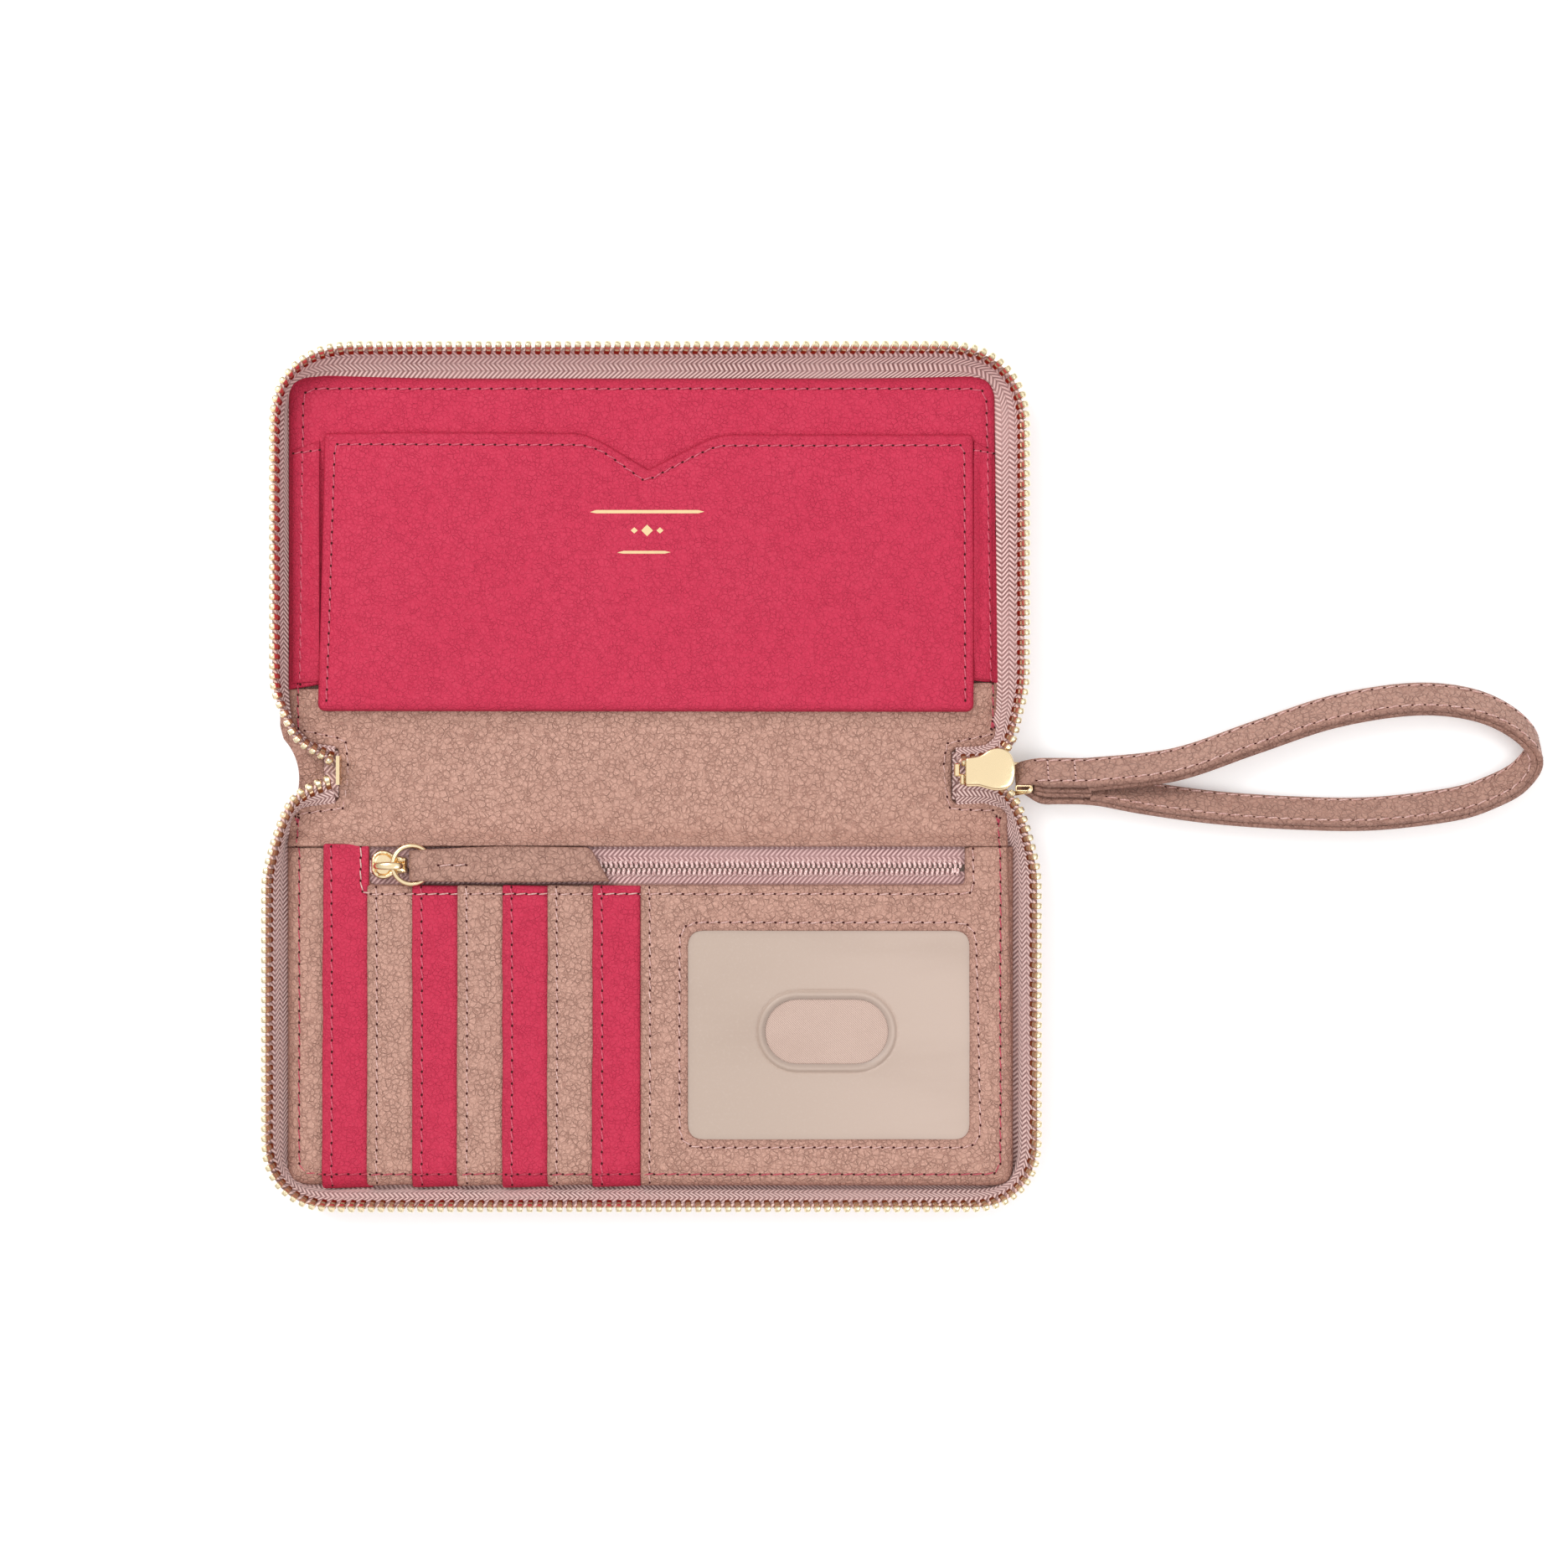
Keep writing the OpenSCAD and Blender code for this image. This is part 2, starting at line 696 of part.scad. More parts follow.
// outer ply: both branches, and the turn round the puller's bar
module strap_band() {
    turn = [
        for (a = [90:22.5:270])
            bar + (wrap_r - ply / 2) * [cos(a), sin(a) * cos(strap_lean), sin(a) * sin(strap_lean)]
    ];
    body = strap_line;
    outer = [
        for (i = [0:len(body) - 1])
            let (t = unit(body[min(i + 1, len(body) - 1)] - body[max(i - 1, 0)]),
                n = unit(cross(lean, t)))
            body[i] + n * ply / 2
    ];
    line = concat(outer, [for (i = [len(turn) - 1:-1:0]) turn[i]]);
    m = len(line);
    color(taupe)
    loft([
        for (i = [0:m - 1])
            let (t = unit(line[(i + 1) % m] - line[(i + m - 1) % m]),
                n = unit(cross(lean, t)) * ply / 2, h = lean * strap_half(line[i][0]))
            [line[i] - n - h, line[i] + n - h, line[i] + n + h, line[i] - n + h]
    ], closed = true);
}

// inner ply, from one branch's start round the loop to the other's
module strap_lining() {
    p = [for (i = [6:len(strap_line) - 7]) strap_line[i]];
    color(taupe) strip_along(p, -ply, -0.02, strap_w);
}

// short end of leather sewn in between the two branches
module strap_tail() {
    mid = [for (x = [102:2:112]) [x, lerp(-0.66, -0.75, (x - 102) / 10), 6.15]];
    color(taupe) strip_along(mid, -0.5, 0.5, strap_w - 0.4);
}

// ---------------------------------------------------------------- coin zip's slider and pull

cs_x0 = -71.4;                 // ends of the slider
cs_x1 = -64.4;
cs_half = 3.1;
cs_plate = 0.6;
cs_low = pouch_top + 0.15;
cs_top = coil_top + 0.2;
ring_r = 4.9;
ring_wire = 0.6;
ring_cx = -61;
ring_cy = -22.1;
ring_z = 7.2;
eye_x = ring_cx - ring_r;      // where the ring's wire passes through the slider's eye

// two plates round the coil, a wedge between them ahead of it, and an eye for the ring
module coin_slider_body() {
    color(gold) {
        for (z = [cs_low, cs_top])
            translate([0, 0, z])
            linear_extrude(cs_plate)
            round_rect(cs_x0, coin_zip_y - cs_half, cs_x1, coin_zip_y + cs_half, 1.5);
        translate([cs_x0 + 1.1, coin_zip_y, cs_low + 0.1])
        cylinder(h = cs_top - cs_low, r = 0.7);
        translate([0, ring_cy + 0.9, 0])
        rotate([90, 0, 0])
        linear_extrude(1.8)
        difference() {
            translate([eye_x - 1.9, cs_top + cs_plate - 0.1]) square([3.4, 3.2]);
            translate([eye_x - 0.95, cs_top + cs_plate]) square([1.8, 2.3]);
        }
    }
}

module coin_pull_ring() {
    color(gold)
    translate([ring_cx, ring_cy, ring_z])
    rotate_extrude() translate([ring_r, 0]) circle(ring_wire, $fn = 32);
}

tab_left = -61.6;
tab_ply = 0.85;

// leather folded round the ring's far side and sewn together, with a slanted free end
module coin_pull_tab() {
    half = 1.65;                                // half the height of the fold
    color(taupe)
    intersection() {
        translate([0, -10, 0])
        rotate([90, 0, 0])
        linear_extrude(30)
        difference() {
            union() {
                translate([tab_left + half, ring_z]) circle(r = half);
                translate([tab_left + half, ring_z - half]) square([6.2, 2 * half]);
                polygon([
                    [tab_left + half + 6.2, ring_z - half],
                    [-5, ring_z - half], [-5, ring_z - half + 2 * tab_ply],
                    [-50, ring_z - half + 2 * tab_ply], [tab_left + half + 6.2, ring_z + half]
                ]);
            }
            translate([tab_left + half, ring_z]) circle(r = half - tab_ply);
            translate([tab_left + half, ring_z - half + tab_ply])
            square([5.8, 2 * (half - tab_ply)]);
        }
        linear_extrude(20)
        polygon([
            [tab_left, ring_cy - 4.1], [-56, ring_cy - 4.2], [-50, -26.6], [-10.5, -26.6],
            [-15.5, -17.75], [-50, -17.75], [-56, ring_cy + 4.1], [tab_left, ring_cy + 4.1]
        ]);
    }
}

outer_cover_back();
back_board();
coin_pocket_lining();
back_lining();
spine_lining_back_flap();
card_slot(1);  // card_slot_1
card_slot(2);  // card_slot_2
card_slot(3);  // card_slot_3
card_slot(4);  // card_slot_4
card_slot(5);  // card_slot_5
card_slot(6);  // card_slot_6
card_slot(7);  // card_slot_7
id_panel();
id_film();
id_backing();
coin_zip_tapes();
coin_zip_coil();
coin_zip_stops();
back_zip_tape();
back_zip_teeth();
outer_spine();
spine_lining();
zip_end_tape_left();
zip_end_teeth_left();
zip_end_tape_right();
zip_end_teeth_right();
zip_stop_left();
zip_stop_right();
outer_cover_front();
front_board();
front_lining();
spine_lining_front_flap();
phone_pocket_panel();
pocket_gusset_left();
pocket_gusset_right();
front_zip_tape();
front_zip_teeth();
slider_body();
slider_bridge();
puller_loop();
strap_band();
strap_lining();
strap_tail();
coin_slider_body();
coin_pull_ring();
coin_pull_tab();
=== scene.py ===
# Looks of the zip-around wristlet wallet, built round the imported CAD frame. Lengths are in
# millimetres in the helpers and become metres where each mesh is made.
import math

import bpy
import numpy as np
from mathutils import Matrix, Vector
from mathutils.geometry import delaunay_2d_cdt


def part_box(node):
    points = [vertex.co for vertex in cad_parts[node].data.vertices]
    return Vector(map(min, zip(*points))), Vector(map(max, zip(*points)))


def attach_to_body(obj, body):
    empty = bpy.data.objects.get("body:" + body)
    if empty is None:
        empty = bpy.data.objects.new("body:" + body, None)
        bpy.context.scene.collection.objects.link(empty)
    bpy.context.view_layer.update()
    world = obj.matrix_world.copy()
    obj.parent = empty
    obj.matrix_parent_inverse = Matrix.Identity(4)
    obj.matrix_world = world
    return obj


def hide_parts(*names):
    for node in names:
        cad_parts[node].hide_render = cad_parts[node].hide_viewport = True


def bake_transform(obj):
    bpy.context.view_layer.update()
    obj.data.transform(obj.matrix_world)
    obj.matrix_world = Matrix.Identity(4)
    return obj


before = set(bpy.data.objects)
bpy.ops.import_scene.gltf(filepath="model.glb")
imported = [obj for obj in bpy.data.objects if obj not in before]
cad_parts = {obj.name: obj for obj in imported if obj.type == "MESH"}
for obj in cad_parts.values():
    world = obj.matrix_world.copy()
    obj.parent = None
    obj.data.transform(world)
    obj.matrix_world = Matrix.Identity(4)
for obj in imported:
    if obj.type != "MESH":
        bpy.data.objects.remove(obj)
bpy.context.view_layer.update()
scene = bpy.context.scene
MM = 0.001
EXPOSURE = 0.80                       # share of a tone that a material carries under this light
SEAM = (0.2, 0.9)                     # depth and width of a sewn line's groove


def box_mm(node):
    low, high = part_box(node)
    return np.array(low) / MM, np.array(high) / MM


def smooth(t):
    t = np.clip(t, 0.0, 1.0)
    return t * t * (3 - 2 * t)


def noise(x, y, seed=0.0):
    """Smooth value noise from -1 to 1, the same on every run."""
    x, y = np.asarray(x, float), np.asarray(y, float)
    i, j = np.floor(x), np.floor(y)
    u, v = smooth(x - i), smooth(y - j)

    def spot(a, b):
        h = np.sin(a * 127.1 + b * 311.7 + seed * 74.7) * 43758.5453
        return h - np.floor(h)

    low = spot(i, j) * (1 - u) + spot(i + 1, j) * u
    high = spot(i, j + 1) * (1 - u) + spot(i + 1, j + 1) * u
    return 2 * (low * (1 - v) + high * v) - 1


# ---- materials

def tone(r, g, b, share=EXPOSURE):
    """Linear colour of an sRGB tone, scaled for the light."""
    out = []
    for c in (r, g, b):
        c = c / 255
        out.append(share * (c / 12.92 if c <= 0.04045 else ((c + 0.055) / 1.055) ** 2.4))
    return (*out, 1.0)


class Nodes:
    """Short way to make and join shader nodes."""

    def __init__(self, name):
        self.mat = bpy.data.materials.new(name)
        self.mat.use_nodes = True
        self.tree = self.mat.node_tree
        self.tree.nodes.clear()
        self.bsdf = self.node("BsdfPrincipled")
        self.link(self.bsdf.outputs[0], self.node("OutputMaterial").inputs["Surface"])

    def link(self, a, b):
        self.tree.links.new(a, b)

    def put(self, socket, value):
        if hasattr(value, "is_linked"):
            self.link(value, socket)
        else:
            socket.default_value = value

    def node(self, kind, **props):
        n = self.tree.nodes.new("ShaderNode" + kind)
        for k, v in props.items():
            setattr(n, k, v)
        return n

    def coords(self, kind="Object"):
        return self.node("TexCoord").outputs[kind]

    def axes(self, kind="Object"):
        n = self.node("SeparateXYZ")
        self.link(self.coords(kind), n.inputs[0])
        return n.outputs[0], n.outputs[1]

    def math(self, op, a, b=0.0):
        n = self.node("Math", operation=op)
        self.put(n.inputs[0], a)
        self.put(n.inputs[1], b)
        return n.outputs[0]

    def mul(self, a, b):
        return self.math("MULTIPLY", a, b)

    def mix(self, a, b, share):
        n = self.node("Mix", data_type="RGBA")
        self.put(n.inputs[0], share)
        self.put(n.inputs[6], a)
        self.put(n.inputs[7], b)
        return n.outputs[2]

    def ramp(self, value, low, high, out_low=0.0, out_high=1.0):
        n = self.node("MapRange", interpolation_type="SMOOTHSTEP")
        for i, v in enumerate((value, low, high, out_low, out_high)):
            self.put(n.inputs[i], v)
        return n.outputs[0]

    def noise(self, vector, scale, detail=2.0, rough=0.5):
        n = self.node("TexNoise")
        self.put(n.inputs["Vector"], vector)
        n.inputs["Scale"].default_value = scale
        n.inputs["Detail"].default_value = detail
        n.inputs["Roughness"].default_value = rough
        return n.outputs[0]

    def cells(self, vector, scale):
        n = self.node("TexVoronoi", feature="DISTANCE_TO_EDGE")
        self.put(n.inputs["Vector"], vector)
        n.inputs["Scale"].default_value = scale
        return n.outputs["Distance"]

    def warp(self, vector, scale, amount):
        n = self.node("TexNoise")
        self.put(n.inputs["Vector"], vector)
        n.inputs["Scale"].default_value = scale
        v = self.node("VectorMath", operation="MULTIPLY_ADD")
        self.put(v.inputs[0], n.outputs["Color"])
        v.inputs[1].default_value = (amount,) * 3
        self.put(v.inputs[2], vector)
        return v.outputs[0]

    def attribute(self, name):
        return self.node("Attribute", attribute_name=name).outputs["Fac"]

    def bump(self, height, distance):
        n = self.node("Bump")
        n.inputs["Strength"].default_value = 1.0
        n.inputs["Distance"].default_value = distance
        self.put(n.inputs["Height"], height)
        self.link(n.outputs[0], self.bsdf.inputs["Normal"])

    def set(self, **values):
        names = {"color": "Base Color", "rough": "Roughness", "metal": "Metallic",
                 "spec": "Specular IOR Level", "sheen": "Sheen Weight"}
        for k, v in values.items():
            self.put(self.bsdf.inputs[names[k]], v)


def leather(name, base, crease, light, grain=720.0, depth=0.00030, contrast=0.62, gloss=0.36):
    """Pebbled leather: fine creases darkened with painted shade, pebble tops lightened with painted
    highlight in patches, mottling, and edges darkened where the edge attribute says: painted shade
    on the rims and undersides of cut pieces, the strap's own edge paint along its cut edges.
    """
    m = Nodes(name)
    at = m.warp(m.coords(), 520.0, 0.0014)
    pebble = m.ramp(m.cells(at, grain), 0.0, 0.15)
    fine = m.ramp(m.cells(at, grain * 1.9), 0.0, 0.20)
    deep_grain = m.ramp(m.noise(m.coords(), 420.0), 0.34, 0.62, 0.45, 1.0)
    height = m.math("ADD", m.mul(pebble, 0.66), m.mul(fine, 0.34))
    # painted highlight: the light tone laid on pebble tops, in patches
    highlight_patch = m.ramp(m.noise(at, 60.0, 3.0), 0.42, 0.66, 0.0, 0.25)
    body = m.mix(base, light, m.mul(highlight_patch, height))
    # painted shade: the crease tone laid in the grain's creases, stronger where the grain is deep
    gap = m.mul(m.math("SUBTRACT", 1.0, pebble), 0.95 * contrast)
    thin = m.mul(m.math("SUBTRACT", 1.0, fine), 0.50 * contrast)
    body = m.mix(body, crease, m.mul(m.math("MAXIMUM", gap, thin), deep_grain))
    body = m.mix(body, crease, m.ramp(m.noise(m.coords(), 17.0), 0.35, 0.7, 0.0, 0.05))
    # painted shade on the rims and undersides of cut pieces, from the edge attribute; on the strap
    # it is its edge paint
    body = m.mix(body, crease, m.mul(m.attribute("edge"), 0.5))
    m.set(color=body, rough=m.ramp(height, 0.0, 1.0, 0.66, 0.46), spec=gloss)
    relief = m.mul(height, m.ramp(deep_grain, 0.45, 1.0, 0.7, 1.0))
    m.bump(m.math("ADD", relief, m.mul(m.noise(at, 2600.0, 1.0), 0.15)), depth)
    return m.mat


def woven(name, light, dark, shade):
    """Herringbone tape in its own UV layer, in metres along and across."""
    stripe, rib_pitch = 0.0021, 0.00130
    m = Nodes(name)
    along, across = m.axes("UV")
    zig = m.math("PINGPONG", across, stripe)
    phase = m.mul(m.math("ADD", along, m.mul(zig, 0.9)), 2 * math.pi / rib_pitch)
    rib = m.ramp(m.math("SINE", phase), -0.75, 0.55)
    cut = m.ramp(m.math("MINIMUM", zig, m.math("SUBTRACT", stripe, zig)), 0.0, 0.00016)
    weave = m.mul(rib, m.math("MAXIMUM", cut, 0.35))
    body = m.mix(dark, light, weave)
    body = m.mix(body, shade, m.ramp(m.noise(m.coords(), 60.0, 3.0), 0.35, 0.75, 0.0, 0.5))
    m.set(color=body, rough=0.78, spec=0.2, sheen=0.25)
    m.bump(weave, 0.00018)
    return m.mat


def metal(name, base, foot=None, rough=0.2):
    """Plated metal with faint brushing and, where asked for, a darker foot: painted shade and
    painted reflection of the tape low on each tooth.
    """
    m = Nodes(name)
    spots = m.noise(m.coords(), 700.0, 3.0)
    body = m.mix(base, foot or tone(190, 150, 104, 1.0), m.ramp(spots, 0.5, 0.9, 0.0, 0.12))
    if foot:
        # painted shade and reflection of the tape: the foot tone towards each tooth's foot, by the
        # tip attribute
        body = m.mix(foot, body, m.ramp(m.attribute("tip"), 0.25, 0.72))
    m.set(color=body, rough=m.ramp(spots, 0.2, 0.8, rough - 0.04, rough + 0.06), metal=1.0)
    m.bump(m.noise(m.coords(), 900.0), 0.000006)
    return m.mat


def thread(name, light, dark):
    """Twisted sewing thread."""
    m = Nodes(name)
    twist = m.noise(m.coords(), 2600.0, 1.0)
    body = m.mix(dark, light, m.ramp(twist, 0.36, 0.62))
    m.set(color=body, rough=0.6, spec=0.3, sheen=0.2)
    m.bump(twist, 0.00008)
    return m.mat


def cloth(name, light, dark, pitch=0.0006):
    """Fine diagonal twill in object space."""
    m = Nodes(name)
    x, y = m.axes()
    diagonal = m.math("SINE", m.mul(m.math("ADD", x, y), 2 * math.pi / pitch))
    cross = m.math("SINE", m.mul(x, 2 * math.pi / (pitch * 0.6)))
    weave = m.ramp(m.math("ADD", diagonal, m.mul(cross, 0.4)), -1.1, 1.1)
    body = m.mix(dark, light, weave)
    body = m.mix(body, dark, m.ramp(m.noise(m.coords(), 90.0, 3.0), 0.4, 0.8, 0.0, 0.35))
    m.set(color=body, rough=0.85, spec=0.15, sheen=0.3)
    m.bump(weave, 0.0001)
    return m.mat


def film_material():
    """Frosted plastic film: fine mist, faint streaks, soft shine."""
    m = Nodes("frosted_film")
    at = m.coords()
    mist = m.noise(at, 1400.0)
    streak = m.node("Mapping")
    m.link(at, streak.inputs[0])
    streak.inputs["Scale"].default_value = (14.0, 60.0, 1.0)
    lines = m.noise(streak.outputs[0], 1.0, 3.0)
    side = m.ramp(m.axes()[0], 0.012, 0.080)
    body = m.mix(tone(200, 178, 163), tone(210, 187, 173), side)
    body = m.mix(body, tone(182, 158, 143), m.ramp(lines, 0.42, 0.8, 0.0, 0.35))
    body = m.mix(body, tone(212, 192, 180), m.ramp(mist, 0.5, 0.8, 0.0, 0.3))
    # painted shade along the film's edges and round its thumb hole, from the edge attribute
    body = m.mix(body, tone(150, 132, 124), m.mul(m.attribute("edge"), 0.5))
    m.set(color=body, rough=m.ramp(mist, 0.2, 0.8, 0.34, 0.52), spec=0.45)
    m.bump(mist, 0.00002)
    return m.mat


def plain_board():
    m = Nodes("fibre_board")
    fibre = m.noise(m.coords(), 900.0, 4.0, 0.7)
    m.set(color=m.mix(tone(150, 128, 108), tone(186, 164, 142), fibre), rough=0.9, spec=0.1)
    m.bump(fibre, 0.00006)
    return m.mat


def dark_hole():
    # dark discs at the needle holes: painted shade in the holes
    m = Nodes("needle_hole")
    grain = m.noise(m.coords(), 3000.0)
    m.set(color=m.mix(tone(54, 22, 24), tone(84, 44, 42), grain), rough=0.9, spec=0.0)
    return m.mat


# each leather: base tone, crease tone (painted shade in the grain's creases), light tone (painted
# highlight on pebble tops)
TAUPE = leather("taupe_leather", tone(205, 159, 142, 0.91), tone(152, 103, 89),
                tone(216, 172, 155, 0.91))
STRAP_TAUPE = leather("strap_leather", tone(200, 154, 137, 0.83), tone(140, 96, 83, 0.77),
                      tone(211, 169, 152, 0.83), grain=660.0, contrast=0.66)
PINK = leather("pink_leather", tone(218, 51, 86, 0.78), tone(176, 33, 60, 0.76),
               tone(224, 66, 97, 0.79), grain=880.0, depth=0.00016, contrast=0.3, gloss=0.26)
TAPE = woven("mauve_tape", tone(248, 214, 208, 0.99), tone(154, 110, 106),
             tone(216, 176, 171, 0.92))
COIN_TAPE = woven("coin_tape", tone(232, 192, 189, 0.9), tone(158, 116, 115),
                  tone(206, 165, 161, 0.85))
GOLD = metal("champagne_gold", tone(250, 226, 183, 1.0), rough=0.17)
# the teeth's foot tone is painted shade and reflection of the tape at their feet
TEETH = metal("gold_teeth", tone(250, 232, 194, 1.0), foot=tone(158, 92, 58, 1.0), rough=0.26)
FOIL = metal("gold_foil", tone(240, 212, 164, 1.0), rough=0.34)
COIL = thread("coil_nylon", tone(250, 218, 213, 0.95), tone(206, 158, 155))
PALE_THREAD = thread("pale_thread", tone(244, 206, 198), tone(214, 160, 152))
PINK_THREAD = thread("pink_thread", tone(236, 112, 134), tone(206, 76, 102))
ROSE_THREAD = thread("rose_thread", tone(222, 84, 108), tone(190, 56, 84))
HOLE = dark_hole()
TWILL = cloth("pink_twill", tone(236, 208, 194), tone(204, 174, 160))
FILM = film_material()
BOARD = plain_board()

# ---- mesh helpers


def build(name, verts, faces, mats, sharp=38.0, floats=None, uv=None, which=None):
    """A smooth-shaded mesh object from millimetre points, with its attributes and UV layer."""
    mesh = bpy.data.meshes.new(name)
    mesh.from_pydata((np.asarray(verts, float) * MM).tolist(), [], [list(f) for f in faces])
    mesh.update()
    mesh.polygons.foreach_set("use_smooth", [True] * len(mesh.polygons))
    mesh.set_sharp_from_angle(angle=math.radians(sharp))
    for key, values in (floats or {}).items():
        layer = mesh.attributes.new(key, "FLOAT", "POINT")
        layer.data.foreach_set("value", np.asarray(values, np.float32))
    if uv is not None:
        at = np.empty(len(mesh.loops), np.int32)
        mesh.loops.foreach_get("vertex_index", at)
        layer = mesh.uv_layers.new(name="weave")
        layer.data.foreach_set("uv", (np.asarray(uv, float)[at] * MM).astype(np.float32).ravel())
    if which is not None:
        mesh.polygons.foreach_set("material_index", np.asarray(which, np.int32))
    for m in mats:
        mesh.materials.append(m)
    obj = bpy.data.objects.new(name, mesh)
    scene.collection.objects.link(obj)
    return obj


def attach(obj, body, *nodes):
    """The piece rides on a body, and stands for CAD nodes where any are given."""
    if nodes:
        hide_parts(*nodes)
    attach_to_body(obj, body)


def bend(obj):
    """Bakes the piece's placement into its mesh."""
    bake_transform(obj)


def refine(loop, step, closed=True):
    """The same line with no segment longer than step."""
    p = np.asarray(loop, float)
    q = np.roll(p, -1, 0) if closed else p[1:]
    out = []
    for a, b in zip(p, q):
        n = max(1, int(math.ceil(np.linalg.norm(b - a) / step)))
        out += [a + (b - a) * k / n for k in range(n)]
    if not closed:
        out.append(p[-1])
    return np.array(out)


def round_corners(points, radii, n=6):
    """Closed loop with each corner turned into an arc-like bend of about that radius."""
    p = np.asarray(points, float)
    r = radii if hasattr(radii, "__len__") else [radii] * len(p)
    out = []
    for i in range(len(p)):
        a, b, c = p[i - 1], p[i], p[(i + 1) % len(p)]
        u, v = a - b, c - b
        lu, lv = np.linalg.norm(u), np.linalg.norm(v)
        cut = min(r[i], lu * 0.49, lv * 0.49)
        if cut < 0.02:
            out.append(b)
            continue
        u, v = b + u / lu * cut, b + v / lv * cut
        for k in range(n + 1):
            t = k / n
            out.append(u * (1 - t) ** 2 + v * t ** 2 + b * 2 * t * (1 - t))
    return np.array(out)


def rect(x0, y0, x1, y1, r):
    return round_corners([(x0, y0), (x1, y0), (x1, y1), (x0, y1)], r)


def turned_left(p):
    """Whether a closed loop runs anticlockwise."""
    x, y = p[:, 0], p[:, 1]
    return np.sum(x * np.roll(y, -1) - y * np.roll(x, -1)) > 0


def grown(loop, share):
    """The loop scaled about its middle."""
    middle = loop.mean(0)
    return middle + (loop - middle) * share


def distance(points, lines):
    """Distance of each 2D point to the nearest of the polylines' segments."""
    best = np.full(len(points), 1e9)
    starts = np.concatenate([a for a, _ in lines])
    ends = np.concatenate([b for _, b in lines])
    d = ends - starts
    dd = np.maximum((d * d).sum(1), 1e-12)
    for k in range(0, len(points), 1500):
        p = points[k:k + 1500, None, :] - starts[None]
        t = np.clip((p * d).sum(2) / dd, 0, 1)
        best[k:k + 1500] = np.sqrt(((p - t[..., None] * d) ** 2).sum(2)).min(1)
    return best


def segments(line, closed=True):
    return (line, np.roll(line, -1, 0)) if closed else (line[:-1], line[1:])


def inside(points, loops):
    odd = np.zeros(len(points), bool)
    for loop in loops:
        a, b = segments(loop)
        for (x0, y0), (x1, y1) in zip(a, b):
            if y0 == y1:
                continue
            hit = (points[:, 1] >= min(y0, y1)) & (points[:, 1] < max(y0, y1))
            odd ^= hit & (points[:, 0] < x0 + (points[:, 1] - y0) / (y1 - y0) * (x1 - x0))
    return odd


def triangles(points, edges, loops):
    """Constrained triangles inside the loops, facing up, and each input point's place among the
    vertices."""
    v, _, f, came, _, _ = delaunay_2d_cdt([tuple(p) for p in points], edges, [], 0, 1e-6)
    v, f = np.array([tuple(p) for p in v]), np.array(f)
    place = {i: k for k, given in enumerate(came) for i in given}
    f = f[inside(v[f].mean(1), loops)]
    (ax, ay), (bx, by), (cx, cy) = (v[f[:, i]].T for i in range(3))
    up = (bx - ax) * (cy - ay) > (by - ay) * (cx - ax)
    return v, np.where(up[:, None], f, f[:, ::-1]), place


def sideways(t):
    return unit(np.stack([-t[:, 1], t[:, 0]], 1))


